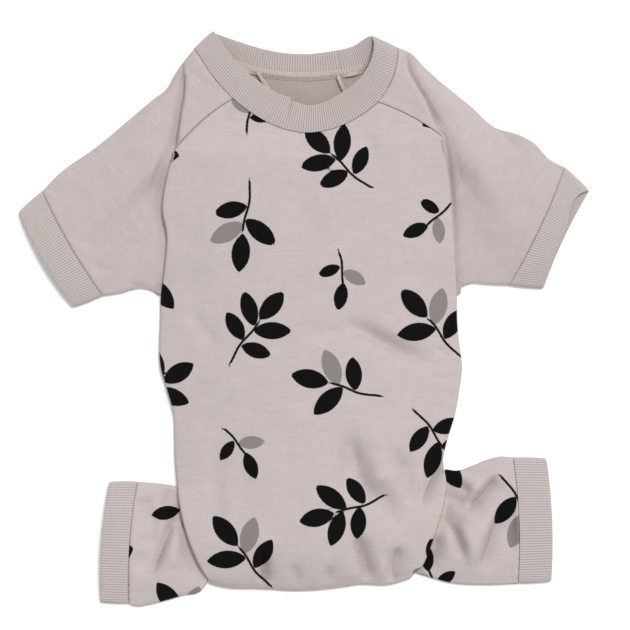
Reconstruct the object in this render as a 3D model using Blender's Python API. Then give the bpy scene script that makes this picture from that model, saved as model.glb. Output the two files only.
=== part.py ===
"""Dog jumpsuit in jersey with ribbed bands, lying on its under panel.

Metres, +Z up, +Y towards the neck. The surface that it lies on is z = 0 and the origin is the middle of
the footprint. Left and right are those of someone who looks down on it.

Body, sleeves and legs are laid out as the outer faces of flattened tubes, an over half and an under half
that meet along the side folds, and Solidify gives them their wall. Seams are butt joints that leave
SEAM_GAP between two pieces. The body's sides lie over the sleeves and the legs.
"""

import bmesh
import bpy
import numpy as np

# Driving dimensions of the body, in metres.
CHEST_WIDTH = 0.222  # flat, from underarm to underarm
UNDERARM_TO_RUMP = 0.220
UNDERARM_TO_SHOULDER = 0.184
TORSO_LOFT = 0.0240  # height of the body's crown above the surface it lies on
JERSEY = 0.0012  # wall of the body, the sleeves and the legs
SIDE_ROLL = 0.0040  # radius of the fold down each side
RUMP_SLOPE = 0.0450  # the body reaches its full height this far from the rump's fold
RUMP_SMOOTH = 0.0150  # and its creases reach their full depth this far from it

# Driving dimensions of the neck.
NECK_WIDTH = 0.1515  # between the two shoulder ends of the neck seam
NECK_DROP = 0.0630  # of the front neck seam below the shoulder ends
NECK_SHIFT = -0.0098  # the neck lies this far off the body's centre line
NECK_LOFT = 0.0150
NECKBAND_WIDTH = 0.0212
# Its free edge lies this high at the back, and this share of the seam's height above that in front.
NECKBAND_EDGE = (0.0006, 0.92)
NECK_ALLOWANCE = 0.0066  # width of the trimmed seam allowance that shows inside the back of the neck

# Driving dimensions of the sleeves and the legs, a value for the left one and one for the right.
SLEEVE_LENGTH = (0.1560, 0.1545)  # along the upper edge, from the neck seam to the cuff
SLEEVE_MOUTH = (0.0904, 0.0976)  # flat width at the cuff seam
SLEEVE_LOFT = (0.0180, 0.0185)
LEG_LENGTH = (0.0288, 0.0512)  # along the upper edge, from the body's side to the cuff
LEG_MOUTH = (0.0914, 0.0944)
LEG_LOFT = (0.0175, 0.0185)
CUFF_LOFT = 0.0135
SLEEVE_CUFF_LENGTH = (0.0232, 0.0242)
LEG_CUFF_LENGTH = (0.0208, 0.0246)
SLEEVE_CUFF_GRIP = (0.91, 0.83)  # free edge as a share of the cuff seam
LEG_CUFF_GRIP = (0.99, 0.98)
CUFF_GAPE = (0.0, 0.0052)  # the over half of a sleeve cuff ends this far short of the under half
LIMB_ROLL = 0.0030  # radius of the folds along a sleeve or a leg
ARM_LIFT = 0.0095  # the body's side lies this high over a sleeve
LEG_LIFT = 0.0108  # and this high over a leg

# Driving dimensions of the ribbed bands.
RIB_WALL = 0.0020  # two layers of rib
RIB_PITCH = 0.0050  # a ridge here stands for two or three of the knit's ribs
RIB_DEPTH = 0.0004

SEAM_GAP = 0.0011  # between two sewn edges of jersey
BAND_GAP = 0.0007  # between a ribbed band and what it is sewn to
TUCK = 0.0010  # a limb's edge reaches this far under the body's side
TUCK_CLEARANCE = 0.0018
LEG_INSET = 0.0030  # the under half's edge at a leg lies this far inside the side fold
CORNER_GAP = 0.0012  # between the body and the end of a limb's side fold
ALLOWANCE_GAP = 0.0009  # between the neckband and the seam allowance that lies on it

# Grid steps: across half of the body, and along each limb.
BODY_COLUMNS = 16
VALLEY_ROWS = 3  # from a sleeve's root to its valley
SLEEVE_ROWS = 7  # from there to its cuff
LEG_ROWS = 7
# Grid steps of a sleeve along its stretch of side fold, of raglan seam and of neck seam.
SLEEVE_COLUMNS = (4, 5, 6)
# Where the grid columns of a sleeve and of a leg end along the cuff seam, from its lower end.
SLEEVE_SHARES = (0, 0.03, 0.12, 0.28, 0.46, 0.54, 0.61, 0.68, 0.74, 0.79, 0.83, 0.87, 0.91, 0.95, 0.98, 1)
LEG_SHARES = (0, 0.03, 0.12, 0.30, 0.50, 0.70, 0.88, 0.97, 1)

LEFT, RIGHT = 0, 1
OUTWARD = (-1, 1)
CROWN = 2.6  # power of the bell that lies across the body, a sleeve and a leg


def table(columns, *rows):
    """Rows of numbers, as one array for each named column."""
    return dict(zip(columns.split(), np.array(rows, float).T))


# The body's side folds below the underarm: share of UNDERARM_TO_RUMP, shares of half CHEST_WIDTH.
SIDES = table(
    "down left right",
    (0.00, 1.000, 0.997),
    (0.10, 1.005, 1.000),
    (0.18, 1.010, 1.016),
    (0.25, 1.000, 1.032),
    (0.32, 0.960, 1.016),
    (0.41, 0.915, 0.984),
    (0.50, 0.908, 0.930),
    (0.56, 0.905, 0.905),
    (0.65, 0.890, 0.925),
    (0.73, 0.868, 0.900),
    (0.83, 0.815, 0.838),
    (0.90, 0.758, 0.786),
    (0.95, 0.713, 0.745),
    (1.00, 0.668, 0.684),
)
# The rump's fold: across as a share of the half width there, reach as a share of UNDERARM_TO_RUMP.
RUMP = table(
    "across reach",
    (-1.0, 0.985),
    (-0.85, 0.998),
    (-0.50, 1.002),
    (0.00, 1.008),
    (0.25, 1.000),
    (0.50, 0.988),
    (0.80, 0.988),
    (1.00, 0.968),
)
# The fold where the body lies over a sleeve, from the underarm to the raglan seam's visible end:
# shares of half CHEST_WIDTH and of UNDERARM_TO_SHOULDER.
ARM_FOLD = table(
    "along left left_rise right right_rise",
    (0.00, 1.000, 0.000, 0.997, 0.000),
    (0.20, 0.971, 0.123, 0.988, 0.130),
    (0.40, 0.958, 0.240, 0.971, 0.279),
    (0.58, 0.988, 0.342, 0.959, 0.380),
    (0.80, 0.958, 0.474, 0.936, 0.500),
    (1.00, 0.899, 0.583, 0.886, 0.640),
)
RAGLAN_BOW = (0.05, 0.04)  # of each raglan seam, as a share of its length
RAGLAN_TOP = 0.0175  # height of the raglan seam's visible end
# A valley runs from there to the shoulder: its upper end as shares of half CHEST_WIDTH and of
# UNDERARM_TO_SHOULDER, and where it meets the sleeve's upper edge as a share of that edge.
VALLEY = ((0.854, 0.902, 0.12), (0.673, 0.926, 0.07))
VALLEY_LOW = 0.12  # where it meets the sleeve's lower edge
# The share of its root's height that a sleeve keeps at each row from there to the valley, along the side
# fold and along the shoulder, and how far the valley lies from the side fold.
VALLEY_KEEP = ((1, 1), (0.85, 0.93), (0.35, 0.5), (0, 0))
VALLEY_OFF = (0.0060, 0.0100, 0.0060)
# The neck seam, round from the left shoulder over the front: shares of half NECK_WIDTH, NECK_DROP and
# NECK_LOFT, the way the band's ribs lean in degrees, and the share of NECKBAND_WIDTH seen from above.
NECK_SEAM = table(
    "across drop height lean reach",
    (-1.000, 0.000, 0.50, 42, 0.90),
    (-0.945, 0.105, 0.88, 44, 0.92),
    (-0.812, 0.345, 1.00, 49, 0.96),
    (-0.614, 0.607, 1.00, 54, 1.03),
    (-0.366, 0.827, 1.00, 62, 1.06),
    (-0.100, 0.970, 1.00, 75, 1.03),
    (0.178, 1.005, 1.00, 90, 0.96),
    (0.495, 0.899, 1.00, 112, 1.02),
    (0.802, 0.649, 1.00, 141, 1.05),
    (0.955, 0.345, 1.00, 158, 0.95),
    (1.000, 0.095, 0.88, 163, 0.88),
    (0.990, -0.012, 0.50, 158, 0.88),
    (0.920, 0.024, 0.13, 143, 0.85),
    (0.653, 0.238, 0.00, 110, 0.86),
    (0.346, 0.310, 0.00, 97, 0.82),
    (0.020, 0.333, 0.00, 90, 0.80),
    (-0.327, 0.286, 0.00, 81, 0.82),
    (-0.663, 0.167, 0.00, 70, 0.82),
    (-0.920, 0.040, 0.13, 55, 0.79),
)
NECK_ROWS = len(NECK_SEAM["across"])
# Where the raglan seams, the shoulders and the seam allowance's ends meet the neck seam, as its rows.
FRONT_CORNER = (3.0, 8.0)
SHOULDER = (0.0, 11.0)
BACK_CORNER = (17.0, 13.0)
ALLOWANCE_ENDS = (12.9, 17.1)
CORNER_NICK = 0.04  # of a row, between body and sleeve along the neck seam
# How a limb's silhouette bows off the straight line between its ends, in shares of that line's length,
# positive away from the limb's middle.
SLEEVE_UPPER = (
    table(
        "along bow",
        (0, 0),
        (0.15, -0.024),
        (0.23, -0.049),
        (0.31, -0.042),
        (0.43, -0.036),
        (0.67, -0.022),
        (0.89, 0.006),
        (1, 0),
    ),
    table(
        "along bow",
        (0, 0),
        (0.07, 0.017),
        (0.17, 0),
        (0.46, -0.024),
        (0.63, -0.036),
        (0.71, -0.006),
        (0.81, 0.009),
        (0.92, -0.012),
        (1, 0),
    ),
)
SLEEVE_LOWER = (
    table("along bow", (0, 0), (0.19, -0.10), (0.39, -0.127), (0.63, -0.05), (1, 0)),
    table("along bow", (0, 0), (0.10, -0.12), (0.29, -0.17), (0.57, -0.10), (1, 0)),
)
LEG_UPPER = (
    table("along bow", (0, 0), (0.50, 0.015), (1, 0)),
    table("along bow", (0, 0), (0.15, -0.047), (0.36, -0.022), (0.60, 0.028), (0.82, 0.044), (1, 0)),
)
LEG_LOWER = (
    table(
        "along bow",
        (0, 0),
        (0.08, 0.070),
        (0.35, 0.080),
        (0.55, 0.083),
        (0.76, 0.080),
        (0.95, 0.040),
        (1, 0),
    ),
    table("along bow", (0, 0), (0.20, 0.041), (0.40, 0.065), (0.62, 0.053), (0.83, 0.030), (1, 0)),
)
# Degrees from +X of each limb's upper silhouette, of its cuff seam from the lower to the upper end, and
# of its cuff.
SLEEVE_HEADING = (223.1, -35.4)
SLEEVE_MOUTH_HEADING = (120.0, 64.8)
SLEEVE_CUFF_HEADING = (211.5, -24.4)
LEG_HEADING = (173.6, 10.1)
LEG_MOUTH_HEADING = (86.0, 92.2)
LEG_CUFF_HEADING = (179.0, 0.5)
MOUTH_BOW = 0.022  # of a cuff seam towards the cuff, as a share of its length
# Where each leg leaves the body's side: upper and lower end as shares of UNDERARM_TO_RUMP.
LEG_ZONE = ((0.652, 0.992), (0.597, 0.970))
# The body's grid rows along a leg, as shares of the leg's zone from its lower end, and the number of
# steps from there to the underarm.
LEG_ROOT = (0, 0.06, 0.18, 0.34, 0.50, 0.66, 0.82, 0.94, 1)
FLANK_ROWS = 6
# The opening under the rump: grid rows from the rump and grid columns from the left fold.
REAR_ROWS = (3, 6)
REAR_COLUMNS = (4, 12)

# Creases of the over halves: place from the middle of the underarm line, half length and half width as
# shares of CHEST_WIDTH, heading in degrees and depth as a share of TORSO_LOFT.
CREASES = {
    "torso": table(
        "across up long wide heading depth",
        (0.420, -0.598, 0.080, 0.022, 66, 0.26),
        (0.328, -0.172, 0.170, 0.028, -22, 0.13),
        (0.192, -0.600, 0.110, 0.028, 80, 0.13),
        (0.277, -0.666, 0.060, 0.022, -51, 0.12),
        (-0.156, -0.930, 0.055, 0.018, 90, 0.13),
        (0.180, -0.870, 0.100, 0.022, 80, 0.13),
        (0.330, -0.930, 0.055, 0.018, 70, 0.13),
        (0.182, 0.500, 0.070, 0.030, -35, 0.08),
        (-0.290, -0.680, 0.200, 0.035, 85, 0.06),
        (0.110, -0.120, 0.150, 0.040, 5, 0.06),
    ),
    "sleeve_left": table(
        "across up long wide heading depth",
        (-0.439, 0.640, 0.160, 0.032, 86, 0.26),
        (-0.640, 0.330, 0.160, 0.040, 35, 0.06),
    ),
    "sleeve_right": table(
        "across up long wide heading depth",
        (0.382, 0.672, 0.150, 0.030, -64, 0.24),
        (0.640, 0.480, 0.090, 0.022, -42, 0.10),
    ),
    "leg_left": table(
        "across up long wide heading depth",
        (-0.487, -0.851, 0.130, 0.032, 67, 0.26),
        (-0.532, -0.689, 0.050, 0.016, 23, 0.12),
    ),
    "leg_right": table(
        "across up long wide heading depth",
        (0.540, -0.640, 0.060, 0.020, -40, 0.22),
        (0.529, -0.830, 0.080, 0.025, -66, 0.22),
        (0.625, -0.797, 0.100, 0.040, 88, 0.10),
    ),
}

FABRIC = {"jersey": (0.560, 0.492, 0.480), "rib": (0.510, 0.445, 0.433)}
MATTE = 0.92


def spline(knots, values, at):
    """Values at the places asked for, on a smooth curve through hand-chosen knots."""
    slope = np.gradient(values, knots, axis=0)
    at = np.asarray(at, float)
    step = np.clip(np.searchsorted(knots, at, side="right") - 1, 0, len(knots) - 2)
    width = knots[step + 1] - knots[step]
    t = (at - knots[step]) / width
    if np.ndim(values) > 1:
        t, width = t[..., None], width[..., None]
    ends = (2 * t**3 - 3 * t**2 + 1) * values[step] + (3 * t**2 - 2 * t**3) * values[step + 1]
    return ends + width * ((t**3 - 2 * t**2 + t) * slope[step] + (t**3 - t**2) * slope[step + 1])


def smooth(share):
    """0 at 0 or less, 1 at 1 or more, with a soft start and end."""
    share = np.clip(share, 0, 1)
    return share * share * (3 - 2 * share)


def direction(degrees):
    return np.stack([np.cos(np.radians(degrees)), np.sin(np.radians(degrees))], -1)


def rolled(distance, radius):
    """Share of its radius that a rolled edge has risen at a distance inside its outline."""
    inside = np.clip(distance / radius, 0, 1)
    return np.sqrt(1 - (1 - inside) ** 2)


def steps(count):
    """-1 to 1 in so many steps, closer together at both ends."""
    return -np.cos(np.linspace(0, np.pi, count + 1))


def with_height(plan, height):
    return np.concatenate([plan, np.broadcast_to(height, plan.shape[:-1])[..., None]], -1)


def sideways(points, towards):
    """Unit vectors square to a plan curve, on the side of a point."""
    along = np.gradient(points, axis=0)
    normal = np.stack([-along[:, 1], along[:, 0]], axis=1)
    normal /= np.linalg.norm(normal, axis=1)[:, None]
    return normal * np.sign(((towards - points) * normal).sum(1))[:, None]


def coons(start, end, low, high, weight, along=None):
    """Plan points of a patch from its start and end rows and its low and high sides."""
    across = weight[None, :, None]
    along = (np.linspace(0, 1, len(low)) if along is None else along)[:, None, None]
    rows = (1 - along) * start[None] + along * end[None]
    sides = (1 - across) * low[:, None] + across * high[:, None]
    corners = (1 - along) * ((1 - across) * start[0] + across * start[-1])
    return rows + sides - corners - along * ((1 - across) * end[0] + across * end[-1])


def dents(points, piece):
    """Depth of a piece's creases at plan points, each a long dent of bell section."""
    total = np.zeros(points.shape[:-1])
    for across, up, long, wide, heading, depth in zip(*CREASES[piece].values()):
        away = points / CHEST_WIDTH - np.array([across, up])
        way = direction(heading)
        along = (away @ way) / long
        aside = (away @ np.array([-way[1], way[0]])) / wide
        total = total + TORSO_LOFT * depth * np.exp(-(along**2) - aside**2)
    return total


def neck_seam(at):
    """Plan points, heights, lean and reach at places along the neck seam, in rows of its table."""
    knots = np.arange(-2, NECK_ROWS + 3)
    columns = np.stack(list(NECK_SEAM.values()), axis=1)[knots % NECK_ROWS]
    found = spline(knots.astype(float), columns, np.mod(at, NECK_ROWS))
    across, drop, height, lean, reach = np.moveaxis(found, -1, 0)
    plan = np.stack([NECK_SHIFT + across * NECK_WIDTH / 2, UNDERARM_TO_SHOULDER - drop * NECK_DROP], -1)
    return plan, NECK_LOFT * np.clip(height, 0, 1), lean, reach


def neck_edge(first, last, count, spacing=None):
    """The edge that body or sleeve sews to the neckband."""
    share = np.linspace(0, 1, count + 1) if spacing is None else spacing
    plan, height, lean, _ = neck_seam(first + (last - first) * share)
    return with_height(plan - BAND_GAP * direction(lean), height)


def side_folds(down):
    """Left and right side fold of the body, at shares of UNDERARM_TO_RUMP below the underarm."""
    half = CHEST_WIDTH / 2
    left, right = (spline(SIDES["down"], SIDES[name], down) for name in ("left", "right"))
    return -half * left, half * right


def over_arm(side):
    """The body's edge above one underarm: side fold, then raglan seam, and how far each row is seam."""
    name = ("left", "right")[side]
    fold_rows, raglan_rows = SLEEVE_COLUMNS[:2]
    along = np.linspace(0, 1, fold_rows + 1)
    x = OUTWARD[side] * CHEST_WIDTH / 2 * spline(ARM_FOLD["along"], ARM_FOLD[name], along)
    y = UNDERARM_TO_SHOULDER * spline(ARM_FOLD["along"], ARM_FOLD[name + "_rise"], along)
    fold = np.stack([x, y], 1)
    corner = neck_edge(FRONT_CORNER[side], FRONT_CORNER[side], 0)[0]
    t = np.linspace(0, 1, raglan_rows + 1)[1:, None]
    chord = corner[:2] - fold[-1]
    bow = np.array([-chord[1], chord[0]]) * OUTWARD[side] * RAGLAN_BOW[side]
    raglan = fold[-1] + chord * t - bow * 4 * t * (1 - t)
    seam = np.concatenate([smooth((along - 0.70) / 0.30), np.ones(raglan_rows)])
    lifted = SIDE_ROLL + (ARM_LIFT - SIDE_ROLL) * smooth(along / 0.30)
    lifted = lifted + (RAGLAN_TOP - ARM_LIFT) * seam[: fold_rows + 1]
    height = np.concatenate([lifted, RAGLAN_TOP + (corner[2] - RAGLAN_TOP) * t[:, 0]])
    return with_height(np.concatenate([fold, raglan]), height), seam


def under_arm(side):
    """The flat raglan seam of the under half, from the underarm to the neck."""
    start = over_arm(side)[0][0]
    corner = neck_edge(BACK_CORNER[side], BACK_CORNER[side], 0)[0]
    t = np.linspace(0, 1, sum(SLEEVE_COLUMNS[:2]) + 1)[:, None]
    hollow = np.array([-OUTWARD[side], -0.35]) * 0.10 * np.linalg.norm(corner[:2] - start[:2])
    plan = start[:2] + (corner[:2] - start[:2]) * t + hollow * 4 * t * (1 - t)
    return with_height(plan, SIDE_ROLL * (1 - smooth(t[:, 0] / 0.1)))


def side_rows(side):
    """The grid rows along one side from the rump to the underarm, and how far each is lifted by a leg."""
    top, bottom = LEG_ZONE[side]
    share = np.array(LEG_ROOT)
    zone = bottom + (top - bottom) * share
    flank = top * (1 - np.linspace(0, 1, FLANK_ROWS + 1)[1:])
    lifted = np.sqrt(np.sin(np.pi * share).round(9))
    down = np.concatenate([[1, (1 + bottom) / 2], zone, flank])
    return down, np.concatenate([[0, 0], lifted, np.zeros(FLANK_ROWS)])


def side_edge(side):
    """Plan points of the body's side fold at its grid rows."""
    down, _ = side_rows(side)
    reach = 1 + (RUMP["reach"][(0, -1)[side]] - 1) * smooth((down - 0.90) / 0.10)
    return np.stack([side_folds(down)[side], -UNDERARM_TO_RUMP * down * reach], 1)


def body_rows():
    """Over and under grids of the body from the rump to the underarm."""
    s = steps(BODY_COLUMNS)
    weight = (s + 1) / 2
    (left_down, left_lift), (right_down, right_lift) = (side_rows(side) for side in (LEFT, RIGHT))
    down = left_down[:, None] * (1 - weight) + right_down[:, None] * weight
    left_x, right_x = side_folds(down)
    reach = 1 + (spline(RUMP["across"], RUMP["reach"], s) - 1) * smooth((down - 0.90) / 0.10)
    plan = np.stack([left_x * (1 - weight) + right_x * weight, -UNDERARM_TO_RUMP * down * reach], -1)
    half = (right_x - left_x) / 2
    from_rump = UNDERARM_TO_RUMP * (1 - down)
    end = rolled(from_rump, 2.2 * SIDE_ROLL)
    roll = rolled(half * (1 - np.abs(s)), SIDE_ROLL) * end
    lift = left_lift[:, None] * (1 - weight) + right_lift[:, None] * weight
    base = SIDE_ROLL + (LEG_LIFT - SIDE_ROLL) * lift
    crown = (TORSO_LOFT - SIDE_ROLL - base) * (1 - np.abs(s) ** CROWN) * smooth(from_rump / RUMP_SLOPE + 0.12)
    top = base + SIDE_ROLL * roll + crown * end
    top = top - dents(plan, "torso") * roll * smooth(from_rump / RUMP_SMOOTH)
    inset = LEG_INSET * (left_lift[:, None] * (1 - weight) - right_lift[:, None] * weight)
    under = np.stack([plan[..., 0] + inset, plan[..., 1]], -1)
    bottom = SIDE_ROLL * (1 - roll)
    bottom[:, 0] *= 1 - left_lift
    bottom[:, -1] *= 1 - right_lift
    return with_height(plan, top), with_height(under, bottom)


def yoke(over_start, under_start):
    """Over and under grids of the body from the underarm to the neck."""
    s = steps(BODY_COLUMNS)
    weight = (s + 1) / 2
    left, right = over_arm(LEFT)[0], over_arm(RIGHT)[0]
    seam = over_arm(LEFT)[1][:, None] * (1 - weight) + over_arm(RIGHT)[1][:, None] * weight
    front = neck_edge(FRONT_CORNER[LEFT], FRONT_CORNER[RIGHT], BODY_COLUMNS, weight)
    over = coons(over_start[:, :2], front[:, :2], left[:, :2], right[:, :2], weight)
    base = left[:, 2:] * (1 - weight) + right[:, 2:] * weight
    along = np.linspace(0, 1, len(left))[:, None]
    peak = TORSO_LOFT + (NECK_LOFT - TORSO_LOFT) * smooth((along - 0.25) / 0.75)
    roll = rolled(CHEST_WIDTH / 2 * (1 - np.abs(s)), SIDE_ROLL) * (1 - seam)
    crown = (peak - SIDE_ROLL * (1 - seam) - base) * (1 - np.abs(s) ** CROWN)
    top = base + SIDE_ROLL * roll + crown
    top = top - dents(over, "torso") * (1 - np.abs(s) ** 8) * (1 - along**4)
    back_left, back_right = under_arm(LEFT), under_arm(RIGHT)
    back = neck_edge(BACK_CORNER[LEFT], BACK_CORNER[RIGHT], BODY_COLUMNS, weight)
    under = coons(under_start[:, :2], back[:, :2], back_left[:, :2], back_right[:, :2], weight)
    bottom = np.zeros(under.shape[:-1])
    bottom[0] = under_start[:, 2]
    return with_height(over, top), with_height(under, bottom)


def limb_heights(piece, over, under, roots, shares, fade, loft):
    """The over and under plan grids of a sleeve or a leg with their heights.

    fade is the share of its root's height that each point keeps.
    """
    s = 2 * np.array(shares) - 1
    along = np.linspace(0, 1, len(over))[:, None]
    half = np.linalg.norm(over[:, -1] - over[:, 0], axis=1)[:, None] / 2
    inside = half * (1 - np.abs(s))
    roll = rolled(inside, LIMB_ROLL)
    swell = loft + (CUFF_LOFT - loft) * smooth((along - 0.5) / 0.42)
    top = LIMB_ROLL + LIMB_ROLL * roll + (swell - 2 * LIMB_ROLL) * (1 - np.abs(s) ** CROWN)
    bottom = LIMB_ROLL * (1 - rolled(inside, 1.5 * LIMB_ROLL))
    top = top + (roots[0][:, 2] - top[0]) * fade
    bottom = bottom + (roots[1][:, 2] - bottom[0]) * fade
    give = roll * np.clip((top - LIMB_ROLL) / (0.75 * loft), 0, 1)
    top = top - dents(over, piece) * give * smooth(along / 0.06) * smooth((1 - along) / 0.15)
    return with_height(over, top), with_height(under, bottom)


def silhouette(start, end, bows, along, other):
    chord = end - start
    away = np.array([-chord[1], chord[0]])
    away = away * -np.sign(away @ (other - start))
    return start + chord * along[:, None] + away * spline(bows["along"], bows["bow"], along)[:, None]


def mouth_line(mouth, behind, weight):
    """The cuff seam's plan points between its two ends, bowed away from a point behind it."""
    chord = mouth[1] - mouth[0]
    away = np.array([-chord[1], chord[0]])
    away = away * np.sign(away @ (mouth.mean(0) - behind)) * MOUTH_BOW
    return mouth[0] + chord * weight[:, None] + away * (4 * weight * (1 - weight))[:, None]


def sleeve(side, name):
    """Over and under grids of one sleeve with its shoulder, and its cuff seam's ends."""
    over_root, under_root = sleeve_roots(side)
    upper_end = over_root[-1, :2] + SLEEVE_LENGTH[side] * direction(SLEEVE_HEADING[side])
    mouth = np.array([upper_end - SLEEVE_MOUTH[side] * direction(SLEEVE_MOUTH_HEADING[side]), upper_end])
    across, up, meets = VALLEY[side]
    weight = np.array(SLEEVE_SHARES)
    low = silhouette(over_root[0, :2], mouth[0], SLEEVE_LOWER[side], with_valley(VALLEY_LOW), mouth[1])
    high = silhouette(over_root[-1, :2], mouth[1], SLEEVE_UPPER[side], with_valley(meets), mouth[0])
    seam = mouth_line(mouth, (low[0] + high[0]) / 2, weight)
    fold_end, corner = SLEEVE_COLUMNS[0], SLEEVE_COLUMNS[0] + SLEEVE_COLUMNS[1]
    column = np.arange(len(over_root))
    off = np.interp(column, (0, fold_end / 2, fold_end), VALLEY_OFF)[:, None]
    valley = over_root[:, :2] - sideways(over_root[:, :2], np.zeros(2)) * off
    top = np.array([OUTWARD[side] * CHEST_WIDTH / 2 * across, UNDERARM_TO_SHOULDER * up])
    climb = np.clip((column - fold_end) / (corner - fold_end), 0, 1)[:, None]
    valley[fold_end:] = (valley[fold_end] + (top - valley[fold_end]) * climb)[fold_end:]
    rest = np.clip((column - corner) / (column[-1] - corner), 0, 1)[:, None]
    valley[corner:] = (top + (high[VALLEY_ROWS] - top) * rest)[corner:]
    valley[0] = low[VALLEY_ROWS]
    step = np.linspace(0, 1, VALLEY_ROWS + 1)[:, None, None]
    shoulder = over_root[None, :, :2] * (1 - step) + valley[None] * step
    shoulder[:, 0], shoulder[:, -1] = low[: VALLEY_ROWS + 1], high[: VALLEY_ROWS + 1]
    outer = coons(valley, seam, low[VALLEY_ROWS:], high[VALLEY_ROWS:], weight)
    over = np.concatenate([shoulder, outer[1:]])
    under = coons(under_root[:, :2], seam, low, high, weight, with_valley(VALLEY_LOW))
    raised = np.interp(column, (fold_end - 1, fold_end + 2), (0, 1))
    kept = np.zeros((len(over), 2))
    kept[: VALLEY_ROWS + 1] = VALLEY_KEEP
    fade = kept[:, :1] * (1 - raised) + kept[:, 1:] * raised
    roots = over_root, under_root
    return *limb_heights(name, over, under, roots, SLEEVE_SHARES, fade, SLEEVE_LOFT[side]), mouth


def with_valley(share):
    """The places of a sleeve's rows along a side whose valley lies at a share of its length."""
    first = np.linspace(0, share, VALLEY_ROWS + 1)
    return np.concatenate([first, np.linspace(share, 1, SLEEVE_ROWS + 1)[1:]])


def sleeve_roots(side):
    """The over and under edges of a sleeve that are sewn to the body and to the neckband."""
    edge, seam = over_arm(side)
    outward = -sideways(edge[:, :2], np.zeros(2))
    shift = SEAM_GAP * seam - TUCK * (1 - seam)
    shift[0] = CORNER_GAP
    arm = with_height(edge[:, :2] + outward * shift[:, None], edge[:, 2] - TUCK_CLEARANCE * (1 - seam))
    nick = CORNER_NICK * OUTWARD[side]
    front = neck_edge(FRONT_CORNER[side] + nick, SHOULDER[side], SLEEVE_COLUMNS[2])
    over_root = np.concatenate([arm[:-1], front])
    over_root[0, 2] = LIMB_ROLL
    flat = under_arm(side)
    away = -sideways(flat[:, :2], np.array([0, 0.1 * UNDERARM_TO_SHOULDER]))
    back = neck_edge(BACK_CORNER[side] - nick, (NECK_ROWS, SHOULDER[RIGHT])[side], SLEEVE_COLUMNS[2])
    under_root = np.concatenate([with_height(flat[:, :2] + SEAM_GAP * away, flat[:, 2])[:-1], back])
    under_root[0], under_root[-1] = over_root[0], over_root[-1]
    return over_root, under_root


def leg(side, name):
    """Over and under grids of one leg, and its cuff seam's ends."""
    over_root, under_root = leg_roots(side)
    upper_end = over_root[-1, :2] + LEG_LENGTH[side] * direction(LEG_HEADING[side])
    mouth = np.array([upper_end - LEG_MOUTH[side] * direction(LEG_MOUTH_HEADING[side]), upper_end])
    along = np.linspace(0, 1, LEG_ROWS + 1)
    low = silhouette(over_root[0, :2], mouth[0], LEG_LOWER[side], along, mouth[1])
    high = silhouette(over_root[-1, :2], mouth[1], LEG_UPPER[side], along, mouth[0])
    weight = np.array(LEG_SHARES)
    seam = mouth_line(mouth, (low[0] + high[0]) / 2, weight)
    over, under = (coons(root[:, :2], seam, low, high, weight) for root in (over_root, under_root))
    fade = 1 - smooth(along[:, None] / 0.45)
    roots = over_root, under_root
    return *limb_heights(name, over, under, roots, LEG_SHARES, fade, LEG_LOFT[side]), mouth


def leg_roots(side):
    """The over and under edges of a leg at the body's side, from the rump upwards."""
    rows = slice(2, 2 + len(LEG_ROOT))
    edge, lifted = side_edge(side)[rows], side_rows(side)[1][rows]
    outward = -sideways(edge, np.array([0, -0.7 * UNDERARM_TO_RUMP]))
    tucked = smooth(lifted / 0.5)[:, None]
    over_plan = edge + outward * (CORNER_GAP * (1 - tucked) - TUCK * tucked)
    over_root = with_height(over_plan, LIMB_ROLL + (LEG_LIFT - TUCK_CLEARANCE - LIMB_ROLL) * lifted)
    under_plan = edge + outward * (CORNER_GAP + (SEAM_GAP - CORNER_GAP) * lifted)[:, None]
    under_plan[:, 0] -= OUTWARD[side] * LEG_INSET * lifted
    under_root = with_height(under_plan, LIMB_ROLL * (1 - lifted))
    under_root[0], under_root[-1] = over_root[0], over_root[-1]
    return over_root, under_root


def half_grid_faces(rows, columns, first):
    corner = first + np.arange(rows - 1)[:, None] * columns + np.arange(columns - 1)[None]
    return np.stack([corner, corner + 1, corner + columns + 1, corner + columns], -1).reshape(-1, 4)


def mesh_object(name, vertices, faces, fabric):
    mesh = bpy.data.meshes.new(name)
    mesh.from_pydata(vertices.tolist(), [], faces.tolist())
    mesh.update()
    body = bpy.data.objects.new(name, mesh)
    bpy.context.scene.collection.objects.link(body)
    material = bpy.data.materials.new(name + "_" + fabric)
    material.use_nodes = True
    shader = material.node_tree.nodes["Principled BSDF"]
    shader.inputs["Base Color"].default_value = (*FABRIC[fabric], 1)
    shader.inputs["Roughness"].default_value = MATTE
    shader.inputs["Metallic"].default_value = 0
    mesh.materials.append(material)
    return body


def tidy(body):
    """Joins the two halves along their folds and turns every face outward."""
    grid = bmesh.new()
    grid.from_mesh(body.data)
    bmesh.ops.remove_doubles(grid, verts=grid.verts, dist=0.00002)
    bmesh.ops.recalc_face_normals(grid, faces=grid.faces)
    grid.to_mesh(body.data)
    grid.free()
    for face in body.data.polygons:
        face.use_smooth = True


def cloth(name, halves, holes=()):
    """A closed wall from over and under grids; holes are faces left out of the under grid."""
    vertices, faces, first = [], [], 0
    for half, points in enumerate(halves):
        rows, columns = points.shape[:2]
        quads = half_grid_faces(rows, columns, first)
        if half and len(holes):
            cells = np.arange(len(quads)).reshape(rows - 1, columns - 1)
            (low, high), (left, right) = holes
            keep = np.ones(len(quads), bool)
            keep[cells[low:high, left:right].ravel()] = False
            quads = quads[keep]
        faces.append(quads if not half else quads[:, ::-1])
        vertices.append(points.reshape(-1, 3))
        first += rows * columns
    body = mesh_object(name, np.concatenate(vertices), np.concatenate(faces), "jersey")
    tidy(body)
    point_outward(body)
    wall = body.modifiers.new("Wall", "SOLIDIFY")
    wall.thickness = JERSEY
    wall.offset = -1
    wall.use_quality_normals = True
    return body


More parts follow.
